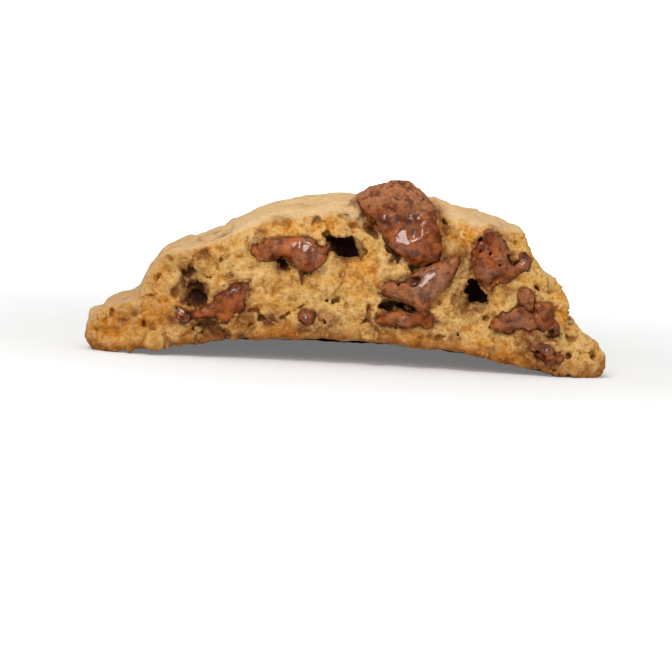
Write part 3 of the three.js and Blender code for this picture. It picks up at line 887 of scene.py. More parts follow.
def number_dough(piece):
    points = points_of(piece)
    depth = depth_of(points)
    torn_here = torn_share(points)
    near = distance_to(chocolate_tree, points)
    inner = torn_here * ramp(distance_to(dough_faces["skin"], points), *HOLLOW_RIM)
    write_numbers(
        piece,
        torn=torn_here,
        # where the creases are, for their painted shade and the painted light on the crests
        crease=ramp(crumb_creases(points), *CREASE_SHADE),
        # painted shade deep in the hollows
        hollow=ramp(depth, *DEEP_HOLLOW_SHADE_DEPTHS) * inner,
        # painted shade round the hollows
        dark=dark_share(points) * torn_here * (depth < SHADE_ROUND_HOLLOWS_DEPTH),
        # soaked chocolate, with a painted shade in the rim beside each chunk
        soaked=soaked_share(points, near),
        browned=browned_share(points),
        golden=golden_share(points),
        # painted shade in what lies deeper than the surface around it
        cavity=ramp(-dough.softened(CAVITY_WIDTH).at(points), *CAVITY_SHADE_DEPTHS),
    )
    return torn_here, depth, near


cookie_torn, cookie_depth, cookie_near = number_dough(cookie)
sag(cookie)
cookie_points = points_of(cookie)
print("numbers on", len(cookie_points), "points")

# %% [markdown]
# ## Chocolate
#
# The chunks half melted in the oven and stretched when the cookie was torn. Melted chocolate pulls
# itself smooth, so each measured chunk is softened as a field and gets slow waves, and the broken
# ones get rounded lobes. Where the tear pulled at a chunk, it has lips, drips and dents, which are
# strokes added to the field or taken away. The crown of the largest chunk dried in the oven's heat
# and is pebbled.

# %% Waves, lobes and pebbles of the chocolate
MELT = [
    {"size": 4.2, "height": 0.50, "seed": 81},
    {"size": 2.1, "height": 0.46, "seed": 82},
    {"size": 1.0, "height": 0.15, "seed": 83},
]
PEBBLES = {"size": 1.15, "height": 0.5, "from": 29.4, "to": 31.4, "smoother": 0.5, "seed": 91}
RUGGED = {  # how much rougher the broken chunks are
    "chocolate_upper_right": 1.5, "chocolate_lower_right": 1.35, "chocolate_side_right": 1.6,
    "chocolate_foot_right": 1.7, "chocolate_flake": 1.5, "chocolate_lower_left": 0.7,
}

LOBES = {"size": 2.3, "seed": 86}
LOBE_SEEDS = (4, 5, 6)  # for the waves that bend the lobes
LOBE_HEIGHT = {
    "chocolate_upper_right": 1.0, "chocolate_lower_right": 0.7, "chocolate_foot_right": 0.9,
    "chocolate_side_right": 0.8, "chocolate_flake": 0.6, "chocolate_upper_left": 0.7, "chocolate_curl": 0.4,
    "chocolate_low": 0.35, "chocolate_crown": 0.3, "chocolate_stretched": 0.2, "chocolate_lower_left": 0.2,
}
OTHER_LOBES = 0.9  # the lobes of the bead and of the chips on the crust


def melt_relief(places, node):
    """How far melted chocolate stands out of its mean surface, in mm."""
    relief = sum(wave_height(places, wave) for wave in MELT)
    relief *= RUGGED.get(node, 1.0)
    lobes = grains(bent(places, LOBE_SEEDS), LOBES["size"], LOBES["seed"]) - CLUMP_MEAN
    relief += LOBE_HEIGHT.get(node, OTHER_LOBES) * lobes
    if node == "chocolate_crown":
        dry = ramp(places[:, 2], PEBBLES["from"], PEBBLES["to"])
        pebbles = grains(places, PEBBLES["size"], PEBBLES["seed"]) - CLUMP_MEAN
        relief = relief * (1 - PEBBLES["smoother"] * dry) + PEBBLES["height"] * dry * pebbles
    return relief


print("chunks with lobes of their own", len(LOBE_HEIGHT))

# %% Ridges
# Each stroke is its points as x, z and depth, and its radius at each point.
RIDGES = {
    "chocolate_crown": [
        ([(10.3, 27.6, -0.6), (13.2, 25.4, -0.4), (15.2, 22.6, 0.0)], [1.9, 1.5, 0.8]),
        ([(6.8, 27.8, 0.2), (9.4, 25.2, 0.2)], [0.7, 0.6]),
        ([(8.2, 29.6, 0.0), (10.4, 26.8, 0.0)], [0.8, 0.6]),
    ],
    "chocolate_stretched": [
        (
            [(5.4, 17.4, 0.0), (8.6, 15.6, -0.3), (12.4, 15.0, -0.4), (15.2, 15.4, -0.3)],
            [0.4, 0.6, 0.6, 0.5],
        ),
        ([(15.6, 16.4, 0.0), (18.2, 18.2, -0.5), (22.0, 20.6, 0.0)], [1.0, 1.2, 0.7]),
    ],
    "chocolate_low": [([(8.4, 10.0, 0.2), (12.2, 10.3, -0.5), (16.4, 9.6, 0.2)], [0.6, 0.8, 0.5])],
    "chocolate_upper_left": [
        ([(-14.0, 24.6, 0.0), (-10.8, 24.2, -0.6), (-6.8, 22.9, 0.0)], [0.6, 0.9, 0.7]),
    ],
    "chocolate_lower_left": [
        ([(-27.0, 14.3, -0.2), (-24.0, 15.9, -0.4), (-20.8, 16.8, -0.2)], [0.4, 0.5, 0.45]),
    ],
    "chocolate_curl": [
        ([(-35.6, 10.3, -0.2), (-34.0, 10.6, -0.6), (-32.6, 10.2, -0.3)], [0.6, 0.8, 0.6]),
        ([(-34.4, 8.2, -0.3), (-32.6, 8.0, -0.7), (-31.0, 8.6, -0.2)], [0.7, 0.8, 0.6]),
    ],
    "chocolate_upper_right": [
        ([(27.6, 25.4, 0.0), (30.0, 26.6, -0.4), (32.6, 25.2, -0.2)], [0.5, 0.6, 0.5]),
        ([(31.4, 26.8, 0.0), (32.2, 23.6, -0.6), (31.2, 20.6, 0.0)], [0.5, 0.9, 0.6]),
        ([(27.2, 21.4, 0.0), (28.2, 18.6, -0.2), (29.6, 16.4, 0.2)], [0.7, 0.6, 0.35]),
    ],
    "chocolate_lower_right": [([(32.0, 9.8, 0.0), (35.4, 10.0, -0.5), (37.6, 9.0, 0.0)], [0.6, 0.8, 0.6])],
    "chocolate_bead": [([(-8.8, 9.6, -0.2), (-7.6, 9.2, -0.6)], [1.0, 0.9])],
}
print("ridges", sum(len(strokes) for strokes in RIDGES.values()))

# %% Dents
DENTS = {
    "chocolate_crown": [
        ([(3.8, 31.4, -1.2), (5.2, 29.6, 0.2), (5.6, 27.6, 0.4)], [0.9, 1.3, 1.0]),
        ([(6.4, 26.9, -0.6), (8.6, 26.2, -0.9)], [0.35, 0.3]),
        ([(6.9, 25.9, -0.5), (9.0, 25.1, -0.8)], [0.35, 0.3]),
        ([(16.4, 29.4, -0.4), (15.4, 27.0, -0.7)], [0.8, 0.5]),
    ],
    "chocolate_stretched": [
        ([(7.6, 19.6, -0.7), (10.6, 18.9, -1.3), (13.6, 18.6, -1.7)], [0.7, 1.1, 1.0]),
        ([(9.6, 21.2, -0.3), (12.0, 20.8, -0.3)], [0.5, 0.6]),
    ],
    "chocolate_upper_left": [
        ([(-14.2, 20.8, -0.2), (-12.8, 21.4, 0.2)], [1.1, 1.1]),
        ([(-18.0, 24.2, -0.9), (-14.8, 23.2, -1.2)], [0.6, 0.8]),
    ],
    "chocolate_curl": [([(-36.2, 9.2, -0.6), (-34.0, 9.2, -1.0), (-31.4, 9.6, -0.7)], [0.3, 0.35, 0.3])],
    "chocolate_upper_right": [
        ([(25.8, 27.6, -0.6), (27.8, 26.4, 0.4)], [1.2, 1.2]),
        ([(28.2, 24.0, -1.6), (30.4, 22.4, -1.6)], [1.5, 1.4]),
        ([(33.2, 24.4, -1.2), (33.6, 20.4, -1.2)], [0.7, 0.6]),
    ],
    "chocolate_lower_right": [([(34.2, 13.0, -0.6), (35.8, 12.2, -0.4)], [1.3, 1.2])],
    "chocolate_foot_right": [([(39.2, 6.6, -0.7), (42.0, 5.2, -0.8)], [0.5, 0.5])],
    "chocolate_side_right": [([(40.2, 13.8, -0.8), (41.8, 10.0, -0.8)], [0.5, 0.5])],
}
CROWN_TRIM = [  # what the crown loses at its shoulders
    ([(0.0, 38.6, -3.0), (4.4, 41.6, 0.0), (4.4, 41.6, 9.0)], [2.6, 2.6, 2.6]),
    ([(16.6, 41.0, -3.0), (18.4, 38.4, 0.0), (18.4, 38.4, 9.0)], [3.0, 3.0, 3.0]),
]
print("dents", sum(len(strokes) for strokes in DENTS.values()), "crown cuts", len(CROWN_TRIM))

# %% Drips
DRIPS = {  # thin strands, drawn last so that the waves do not break them
    "chocolate_stretched": [
        (
            [(12.6, 16.4, -0.2), (14.2, 14.4, -0.7), (15.2, 12.4, -1.1), (16.1, 8.8, -0.9)],
            [1.5, 0.75, 0.42, 0.3],
        ),
        ([(17.6, 16.6, -0.2), (15.6, 13.8, -0.8)], [1.0, 0.4]),
    ],
    "chocolate_upper_left": [
        ([(-10.6, 21.6, 0.0), (-9.9, 19.2, -0.7), (-9.6, 16.4, -0.6)], [0.8, 0.5, 0.22]),
    ],
    "chocolate_lower_left": [([(-24.6, 10.8, 0.0), (-24.3, 7.0, -0.1)], [1.1, 0.25])],
    "chocolate_bead": [([(-9.0, 11.2, 0.0), (-8.0, 9.4, -0.5)], [0.3, 0.6])],
}
print("drips", sum(len(strokes) for strokes in DRIPS.values()))

# %% [markdown]
# ## Flat wet faces
#
# The tear sliced the melted chocolate here and there, and those flat faces throw back the light of a
# lamp as one bright patch. A gloss in the material alone would only put small sparks on the waves,
# so the outermost bulge is really cut flat, across the direction half way between the lamp and the
# picture, and a number marks the face so that the material keeps it wet.

# %% Flat wet faces
FACETS = {  # where the tear left a flat wet face, as x, z, its half width and how deep it cuts
    "chocolate_crown": [
        (11.6, 27.2, 2.7, 0.60), (13.8, 24.6, 0.9, 0.20), (10.8, 25.3, 0.7, 0.16), (6.6, 32.0, 0.6, 0.16),
        (8.6, 31.2, 0.6, 0.16), (9.9, 32.6, 0.5, 0.14), (11.9, 32.4, 0.5, 0.14), (13.6, 32.0, 0.5, 0.16),
        (15.6, 28.8, 0.5, 0.14), (6.8, 30.0, 0.5, 0.14),
    ],
    "chocolate_stretched": [(17.0, 17.8, 2.5, 0.60), (9.4, 15.0, 1.1, 0.20), (7.0, 18.2, 0.6, 0.14)],
    "chocolate_low": [(12.0, 9.8, 1.1, 0.22)],
    "chocolate_upper_left": [(-9.6, 23.8, 1.5, 0.26), (-7.2, 23.2, 1.2, 0.22), (-10.7, 20.3, 0.8, 0.20)],
    "chocolate_lower_left": [(-20.6, 16.6, 0.8, 0.14)],
    "chocolate_curl": [(-34.4, 10.3, 0.8, 0.16), (-32.4, 8.1, 0.8, 0.16)],
    "chocolate_upper_right": [
        (28.5, 20.6, 0.9, 0.20), (32.4, 24.8, 0.8, 0.18), (35.6, 22.4, 0.7, 0.16), (31.0, 26.8, 0.8, 0.18),
    ],
    "chocolate_lower_right": [(35.4, 10.1, 1.1, 0.22)],
    "chocolate_foot_right": [(41.6, 5.6, 0.8, 0.16)],
    "chocolate_bead": [(-8.6, 9.7, 0.7, 0.18)],
}
FACET_WAY = np.array([-0.18, -0.95, 0.24])  # half way between the gloss lamp and the picture
FACET_SOFTNESS = 0.25
FACET_SLOPE = 2.0  # how fast the cut rises out of the chocolate beside its face
WET_RIM = 1.8  # half widths from its middle at which a face is no longer wet
CHOCOLATE_BAND = 2.2  # mm from the surface that a chunk's field covers


def cut_facet(field, x, z, half_width, depth):
    """Flatten the outermost bulge around x and z."""
    way = FACET_WAY / np.linalg.norm(FACET_WAY)
    cells = field.near(CHOCOLATE_BAND)
    places = field.places(cells)
    away = np.hypot(places[:, 0] - x, places[:, 2] - z)
    height = places @ way
    inside = (field.values[cells] < 0) & (away < half_width)
    if not inside.any():
        print("no chocolate at", x, z)
        return
    plane = height - height[inside].max() + depth
    plane -= FACET_SLOPE * np.maximum(away - half_width, 0.0)
    field.values[cells] = -join(-field.values[cells], -plane, FACET_SOFTNESS)


def wet_share(points, node):
    """1 on the wet faces that catch the lamp."""
    share = np.zeros(len(points))
    for x, z, half_width, _ in FACETS.get(node, []):
        away = np.hypot(points[:, 0] - x, points[:, 2] - z)
        share = np.maximum(share, falling(away, WET_RIM * half_width, half_width))
    return share


print("flat wet faces", sum(len(faces) for faces in FACETS.values()))

# %% Dry film
DRY_FROM = (31.8, 35.0)  # mm above the floor over which the crown chunk's film sets in
DRY_WAVES = {"size": 3.0, "height": 1.5, "seed": 95}
FILM = {
    "chocolate_lower_right": 0.5, "chocolate_flake": 0.6, "chocolate_stretched": 0.65,
    "chocolate_low": 0.2,
}
CRUST_FILM = 0.85
OTHER_FILM = 0.12
FILM_WAVES = {"size": 2.2, "height": 0.5, "seed": 96}


def is_on_crust(node):
    return node.startswith("chocolate_crust")


def film_share(points, node):
    """How much of a dry, dull film lies on the chocolate."""
    if node == "chocolate_crown":
        return ramp(points[:, 2] + wave_height(points, DRY_WAVES), *DRY_FROM)
    share = CRUST_FILM if is_on_crust(node) else FILM.get(node, OTHER_FILM)
    return np.clip(share + wave_height(points, FILM_WAVES), 0, 1)


print("chips on the crust", sum(is_on_crust(node) for node in CHUNKS))

# %% Make the chunks
CHOCOLATE_CELL = 0.22
CHOCOLATE_MARGIN = 4.0  # mm of empty field around a chunk, for its drips
CHOCOLATE_FACETS = 0.7  # mm of softening that takes the facets of the model away
CHOCOLATE_GROWTH = 0.45  # mm that closes the narrow gap to the pocket
CHOCOLATE_TRIANGLES = {"chocolate_crown": 40000, "chocolate_stretched": 24000}
SMALL_CHUNK_TRIANGLES = 12000
STROKE_SOFTNESS = 0.7
CROWN_SOFTNESS = 2.0
MELT_REACH = 1.1  # mm from the surface within which the waves can move it
CHUNK_CAVITY_WIDTH = 1.3
# the painted shade in the chocolate's dents
CHUNK_CAVITY_SHADE_DEPTHS = (0.0, 0.25)
CONTACT_SHADE_REACH = (-1.0, 0.1)  # mm above the dough over which the chocolate gets a painted shade where it meets the dough
CONTACT_SHADE_WAVES = {"size": 1.3, "height": 0.5, "seed": 99}


def make_chunk(node):
    """One chunk of chocolate in place of its measured solid."""
    field = Field(*solid_of(node), CHOCOLATE_CELL, CHOCOLATE_BAND, CHOCOLATE_MARGIN)
    field.blur(CHOCOLATE_FACETS)
    if not is_on_crust(node):
        field.values -= CHOCOLATE_GROWTH
    if node == "chocolate_crown":
        stroke_all(field, CROWN_TRIM, CROWN_SOFTNESS, add=False)
    stroke_all(field, RIDGES.get(node, []), STROKE_SOFTNESS, add=True)
    stroke_all(field, DENTS.get(node, []), STROKE_SOFTNESS, add=False)
    cells = field.near(MELT_REACH)
    field.values[cells] -= melt_relief(field.places(cells), node)
    stroke_all(field, DRIPS.get(node, []), STROKE_SOFTNESS, add=True)
    for facet in FACETS.get(node, []):
        cut_facet(field, *facet)
    piece = make_piece("melted_" + node, *keep_largest(*field.surface()), [node], "chocolate")
    thin_out(piece, CHOCOLATE_TRIANGLES.get(node, SMALL_CHUNK_TRIANGLES))
    points = points_of(piece)
    write_numbers(
        piece,
        film=film_share(points, node),
        wet=wet_share(points, node),
        # painted shade in the dents and, below, where the chocolate meets the dough
        cavity=ramp(-field.softened(CHUNK_CAVITY_WIDTH).at(points), *CHUNK_CAVITY_SHADE_DEPTHS),
        contact=ramp(-dough.at(points) + wave_height(points, CONTACT_SHADE_WAVES), *CONTACT_SHADE_REACH),
    )
    sag(piece)
    return piece


chunks = [make_chunk(node) for node in CHUNKS]
print("chunks", len(chunks))

# %% [markdown]
# ## Loose crumbs
#
# Tearing leaves loose crumbs all over the crumb, along its edges and on the sticky chocolate. A
# particle system could scatter them, but this needs real meshes, so one small ball is copied to
# seeded random points of the torn face and of the chocolate's edges, turned, squashed and dented,
# and all copies become one mesh. A few larger flakes have places of their own.

# %% One crumb and its turns
FLAKES = [  # x, z, depth and radius
    (-39.3, 3.1, -0.8, 1.8), (4.7, 7.4, -1.1, 1.6), (6.1, 6.2, -0.9, 1.2), (-1.7, 7.8, -0.4, 0.5),
    (27.7, 21.7, -0.8, 0.9), (29.4, 5.9, -0.9, 1.4), (30.9, 13.4, -0.4, 1.3), (-33.4, 5.0, -0.4, 0.5),
    (-30.4, 5.7, -0.4, 0.8), (6.4, 8.8, -0.6, 0.7), (20.8, 24.6, -0.3, 1.2), (-25.4, 21.0, -0.2, 1.2),
]


def crumb_ball():
    ball = bmesh.new()
    bmesh.ops.create_icosphere(ball, subdivisions=2, radius=1.0)
    points = np.array([vertex.co for vertex in ball.verts])
    faces = np.array([[vertex.index for vertex in face.verts] for face in ball.faces])
    ball.free()
    return points, faces


def random_turns(random, count):
    """Random rotation matrices, from random unit quaternions."""
    w, x, y, z = random.normal(size=(4, count))
    size = np.sqrt(w * w + x * x + y * y + z * z)
    w, x, y, z = w / size, x / size, y / size, z / size
    rows = [
        [1 - 2 * (y * y + z * z), 2 * (x * y - w * z), 2 * (x * z + w * y)],
        [2 * (x * y + w * z), 1 - 2 * (x * x + z * z), 2 * (y * z - w * x)],
        [2 * (x * z - w * y), 2 * (y * z + w * x), 1 - 2 * (x * x + y * y)],
    ]
    return np.array(rows).transpose(2, 0, 1)


ball, ball_faces = crumb_ball()
print("a crumb has", len(ball_faces), "triangles")

# %% Scatter the crumbs
CRUMB_SEED = 7
CRUMB_COUNT = 1500
CRUMB_RADIUS = (0.22, 0.62)
CRUMB_SMALLNESS = 2.2  # a power that makes most crumbs small
CRUMB_SINK = 0.35  # the part of its radius by which a crumb's middle lies above the surface
OPEN_CRUMB = {"torn": 0.35, "depth": 3.0, "from chocolate": 0.3}
CRUMBS_ON_CHOCOLATE = 95
STUCK = {"more radius": 0.3, "smallness": 2, "depth": 6.0, "above the dough": (-0.1, 0.7)}
SQUASH = (0.45, 0.7)  # the least thickness of a crumb, and how much more it can have
CRUMB_DENTS = [{"size": 0.42, "height": 0.45, "seed": 97}, {"size": 0.2, "height": 0.25, "seed": 98}]


def crumbs_on_dough(random):
    """Middles and radii of crumbs at random points of the open crumb."""
    open_crumb = (cookie_torn > OPEN_CRUMB["torn"]) & (cookie_depth < OPEN_CRUMB["depth"])
    open_crumb &= cookie_near > OPEN_CRUMB["from chocolate"]
    chosen = random.choice(np.nonzero(open_crumb)[0], CRUMB_COUNT, replace=False)
    small, large = CRUMB_RADIUS
    radii = small + (large - small) * random.random(CRUMB_COUNT) ** CRUMB_SMALLNESS
    lift = normals_of(cookie)[chosen] * (radii * CRUMB_SINK)[:, None]
    return cookie_points[chosen] + lift, radii


def crumbs_on_chocolate(random):
    """Middles and radii of crumbs stuck where chocolate meets the dough."""
    edges = np.concatenate([points_of(chunk) for chunk in chunks])
    edges = edges[edges[:, 1] < TEAR_Y + STUCK["depth"]]
    above = dough.at(edges)
    low, high = STUCK["above the dough"]
    edges = edges[(above > low) & (above < high)]
    stuck = edges[random.choice(len(edges), CRUMBS_ON_CHOCOLATE, replace=False)]
    more = STUCK["more radius"] * random.random(CRUMBS_ON_CHOCOLATE) ** STUCK["smallness"]
    return stuck, CRUMB_RADIUS[0] + more


def scatter_crumbs():
    random = np.random.default_rng(CRUMB_SEED)
    flakes = np.array([(*on_tear(x, z, depth), radius) for x, z, depth, radius in FLAKES])
    places = [crumbs_on_dough(random), crumbs_on_chocolate(random), (flakes[:, :3], flakes[:, 3])]
    middles, radii = (np.concatenate(parts) for parts in zip(*places))
    thinnest, more = SQUASH
    squash = thinnest + more * random.random((len(radii), 1, 3))
    copies = (ball[None] * squash) @ random_turns(random, len(radii))
    copies = copies * radii[:, None, None] + middles[:, None]
    flat = copies.reshape(-1, 3)
    dented = 1 + sum(wave_height(flat, dent) for dent in CRUMB_DENTS)
    away = (copies - middles[:, None]).reshape(-1, 3) * dented[:, None]
    points = np.repeat(middles, len(ball), axis=0) + away
    first_points = np.arange(len(radii)) * len(ball)
    all_faces = (ball_faces[None] + first_points[:, None, None]).reshape(-1, 3)
    tones = np.repeat(random.random(len(radii)), len(ball))
    return points, all_faces, tones


crumb_points, crumb_faces, crumb_tones = scatter_crumbs()
crumbs = make_piece("loose_crumbs", crumb_points, crumb_faces, [], "baked_dough")
crumbs.data.shade_flat()  # torn flakes have corners
print("crumbs", len(crumb_points) // len(ball))

# %% Numbers on the crumbs
CRUMB_SHADE = (0.15, 0.70)  # the crease number of the palest and of the darkest crumb
CRUMB_SOAKED = 0.8
CRUMB_BROWNED = 0.7
palest, darkest = CRUMB_SHADE
nothing = np.zeros(len(crumb_points))
write_numbers(
    crumbs,
    torn=nothing + 1,
    crease=palest + (darkest - palest) * crumb_tones,
    hollow=nothing,
    soaked=CRUMB_SOAKED * soaked_share(crumb_points, distance_to(chocolate_tree, crumb_points)),
    browned=CRUMB_BROWNED * browned_share(crumb_points),
    golden=golden_share(crumb_points),
    cavity=nothing,
    dark=nothing,
)
print("triangles of the crumbs", len(crumb_faces))

# %% [markdown]
# ## Building materials
#
# Every finish here is worked out by shader nodes. The helper below adds a node and fills its inputs
# in one call: an input gets either a plain value or the output of another node.

# %% Node helpers
def tone(red, green, blue):
    """A colour as seen on a screen, from 0 to 255, as the linear colour that Blender counts in."""
    shares = [value / 255 for value in (red, green, blue)]
    return (*[s / 12.92 if s <= 0.04045 else ((s + 0.055) / 1.055) ** 2.4 for s in shares], 1.0)


class Nodes:
    """Adds nodes to a node tree."""

    def __init__(self, tree):
        self.tree = tree

    def put(self, socket, value):
        if isinstance(value, bpy.types.NodeSocket):
            self.tree.links.new(value, socket)
        else:
            socket.default_value = value

    def add(self, kind, inputs, output=0, **settings):
        """A new node with its settings and inputs, and back comes one of its outputs."""
        node = self.tree.nodes.new(kind)
        for name, value in settings.items():
            setattr(node, name, value)
        for name, value in inputs.items():
            self.put(node.inputs[name], value)
        return node.outputs[output]

    def math(self, operation, first, second=0.0):
        return self.add("ShaderNodeMath", {0: first, 1: second}, operation=operation)

    def remap(self, value, low, high, new_low=0.0, new_high=1.0):
        inputs = {"Value": value, "From Min": low, "From Max": high, "To Min": new_low, "To Max": new_high}
        return self.add("ShaderNodeMapRange", inputs)

    def mix(self, share, first, second):
        """A colour between two."""
        return self.add("ShaderNodeMix", {0: share, 6: first, 7: second}, 2, data_type="RGBA")

    def number(self, name):
        """A number that the points of the mesh carry."""
        return self.add("ShaderNodeAttribute", {}, "Fac", attribute_name=name, attribute_type="GEOMETRY")

    def part_of(self, name, share):
        """A share of a number that the points carry."""
        return self.math("MULTIPLY", self.number(name), share)

    def mottled(self, name, size, borders, shares):
        """A number that the points carry, made uneven by noise between two shares."""
        cloud = self.remap(self.noise(size, 3), *borders, *shares)
        return self.math("MULTIPLY", self.number(name), cloud)

    def place(self):
        return self.add("ShaderNodeTexCoord", {}, "Object")

    def noise(self, size, detail=2.0, roughness=0.5, place=None):
        """Soft noise from 0 to 1 with spots about size mm across."""
        inputs = {"Scale": 1 / (size * MM), "Detail": detail, "Roughness": roughness}
        inputs["Vector"] = place or self.place()
        return self.add("ShaderNodeTexNoise", inputs)


def new_material(name):
    """A material, its nodes, and the inputs of its shader."""
    material = bpy.data.materials.new(name)
    material.use_nodes = True
    return material, Nodes(material.node_tree), material.node_tree.nodes["Principled BSDF"].inputs


print("a tone of 128 is", round(tone(128, 128, 128)[0], 3), "of full light")


# %% Node groups
def new_group(name, inputs, outputs):
    """An empty node group with its sockets, and the nodes that hold its inputs and outputs."""
    group = bpy.data.node_groups.new(name, "ShaderNodeTree")
    kinds = {"value": "NodeSocketFloat", "colour": "NodeSocketColor"}
    for title, (kind, value) in inputs.items():
        socket = group.interface.new_socket(title, in_out="INPUT", socket_type=kinds[kind])
        socket.default_value = value
    for title, kind in outputs.items():
        group.interface.new_socket(title, in_out="OUTPUT", socket_type=kinds[kind])
    return group, group.nodes.new("NodeGroupInput").outputs, group.nodes.new("NodeGroupOutput").inputs


def use_group(nodes, group, inputs, output=0):
    """Place a group in a material with its own values."""
    node = nodes.tree.nodes.new("ShaderNodeGroup")
    node.node_tree = group
    for name, value in inputs.items():
        nodes.put(node.inputs[name], value)
    return node.outputs[output]


print("groups to make: the grain and the patches, both shared by dough and chocolate")

# %% [markdown]
# ## Fine grain
#
# Flour, sugar and cocoa leave a grain that is too fine to model: a height for the bump, and a tone
# that makes some grains lighter. Dough, crumbs and chocolate all use it, each at its own size, so
# it is a group with its size and its strength as inputs.

# %% Fine grain group
def fine_grain_group():
    inputs = {"Grains per mm": ("value", 3.0), "Strength": ("value", 1.0)}
    group, given, result = new_group("fine grain", inputs, {"Height": "value", "Tone": "value"})
    nodes = Nodes(group)
    scale = nodes.math("MULTIPLY", given["Grains per mm"], 1 / MM)
    where = {"Vector": nodes.place(), "Scale": scale}
    cells = nodes.add("ShaderNodeTexVoronoi", where, "Distance", feature="F1")
    cloud = nodes.add("ShaderNodeTexNoise", {**where, "Detail": 4.0, "Roughness": 0.7})
    rounded = nodes.remap(cells, 0.0, 0.8, 0.35, 0.0)
    both = nodes.math("ADD", rounded, cloud)
    nodes.put(result["Height"], nodes.math("MULTIPLY", both, given["Strength"]))
    nodes.put(result["Tone"], nodes.remap(both, 0.42, 0.92))
    return group


fine_grain = fine_grain_group()
print("group", fine_grain.name, "with", len(fine_grain.nodes), "nodes")

# %% [markdown]
# ## Patches
#
# No food has one even colour. This group drifts between two colours in soft patches, and its
# contrast sets how sharp their borders are.

# %% Patches group
def patches_group():
    inputs = {
        "First": ("colour", (0.5, 0.5, 0.5, 1)),
        "Second": ("colour", (0.2, 0.2, 0.2, 1)),
        "Patches per mm": ("value", 0.2),
        "Contrast": ("value", 2.0),
    }
    group, given, result = new_group("patches", inputs, {"Color": "colour"})
    nodes = Nodes(group)
    scale = nodes.math("MULTIPLY", given["Patches per mm"], 1 / MM)
    soft = {"Vector": nodes.place(), "Scale": scale, "Detail": 3.0, "Roughness": 0.55}
    cloud = nodes.add("ShaderNodeTexNoise", soft)
    centred = nodes.math("SUBTRACT", cloud, 0.5)
    share = nodes.math("ADD", nodes.math("MULTIPLY", centred, given["Contrast"]), 0.5)
    share = nodes.remap(share, 0.0, 1.0)
    nodes.put(result["Color"], nodes.mix(share, given["First"], given["Second"]))
    return group


patches = patches_group()
print("group", patches.name, "with", len(patches.nodes), "nodes")

# %% [markdown]
# ## Dough
#
# The crumb gets a painted light on its crests, which makes them pale, and a painted shade of deep
# golden orange in its creases, for light that bounces around in a crease picks up the colour of
# butter and egg. Cavities and hollows get a painted shade too. The skin is smoother and paler, the
# tray browned the base, and chocolate soaked into the crumb around the chunks, with a painted shade in
# the rim right beside each chunk. Each of these is one step of mixing, and each share comes from a
# number on the points.

# %% Dough tones
CRUMB_PALE = tone(214, 171, 100)
CRUMB_BODY = tone(200, 148, 68)
CRUMB_GOLD = tone(206, 134, 28)
# painted shade for the creases, and the tone of the darker specks
CRUMB_CREASE_SHADE_AND_DARK_SPECK = tone(162, 92, 24)
# painted light for the crests, and the tone of the paler specks
CRUMB_CREST_LIGHT_AND_PALE_SPECK = tone(226, 192, 136)
SKIN_PALE = tone(217, 184, 138)
SKIN_GOLD = tone(214, 175, 120)
SKIN_FRECKLE = tone(196, 148, 86)
# painted shade for the cavities
PAINTED_CAVITY_SHADE = tone(128, 70, 22)
TRAY_TONE = tone(146, 78, 18)
# soaked chocolate, and the painted shade in the rim beside each chunk
SOAK_AND_RIM_SHADE_TONE = tone(112, 58, 24)
# painted shade round the hollows
SHADE_ROUND_HOLLOWS_TONE = tone(90, 38, 13)
# painted shade deep in the hollows, laid over the walls' own dark brown
DEEP_HOLLOW_SHADE_TONE = tone(46, 17, 6)
print("the crumb's main colour in linear light", [round(share, 3) for share in CRUMB_BODY[:3]])

# %% Crumb and skin colours
CRUMB_PATCHES = {"First": CRUMB_PALE, "Second": CRUMB_BODY, "Patches per mm": 0.2, "Contrast": 3.0}
SKIN_PATCHES = {"First": SKIN_PALE, "Second": SKIN_GOLD, "Patches per mm": 0.16, "Contrast": 2.4}
DOUGH_GRAIN = {"Grains per mm": 1.5, "Strength": 1.0}
DOUGH_FINE_GRAIN = {"Grains per mm": 3.2, "Strength": 0.5}
DOUGH_SHARES = {"golden": 0.85, "cavity": 0.6, "dark": 0.85}
SPECKS = {"on the skin": 0.35, "strength": 0.5}


def crumb_colour(nodes):
    """Patches and golden zones, with a painted shade in the creases and a painted light on the crests; on
    loose crumbs the same steps give each crumb its own tone.
    """
    crumb = use_group(nodes, patches, CRUMB_PATCHES)
    crumb = nodes.mix(nodes.part_of("golden", DOUGH_SHARES["golden"]), crumb, CRUMB_GOLD)
    cloud = nodes.remap(nodes.noise(1.6, 4), 0.3, 0.7, -0.25, 0.25)
    crease = nodes.math("ADD", nodes.number("crease"), cloud)
    # painted shade in the creases, then painted light on the crests; on loose crumbs the same number is
    # each crumb's own tone
    crumb = nodes.mix(nodes.remap(crease, 0.4, 1.0, 0.0, 0.85), crumb, CRUMB_CREASE_SHADE_AND_DARK_SPECK)
    return nodes.mix(nodes.remap(crease, 0.3, -0.1, 0.0, 0.5), crumb, CRUMB_CREST_LIGHT_AND_PALE_SPECK)


def skin_colour(nodes):
    """Pale skin with golden patches and freckles."""
    freckled = nodes.remap(nodes.noise(2.2, 5, 0.65), 0.5, 0.72, 0.0, 0.6)
    return nodes.mix(freckled, use_group(nodes, patches, SKIN_PATCHES), SKIN_FRECKLE)


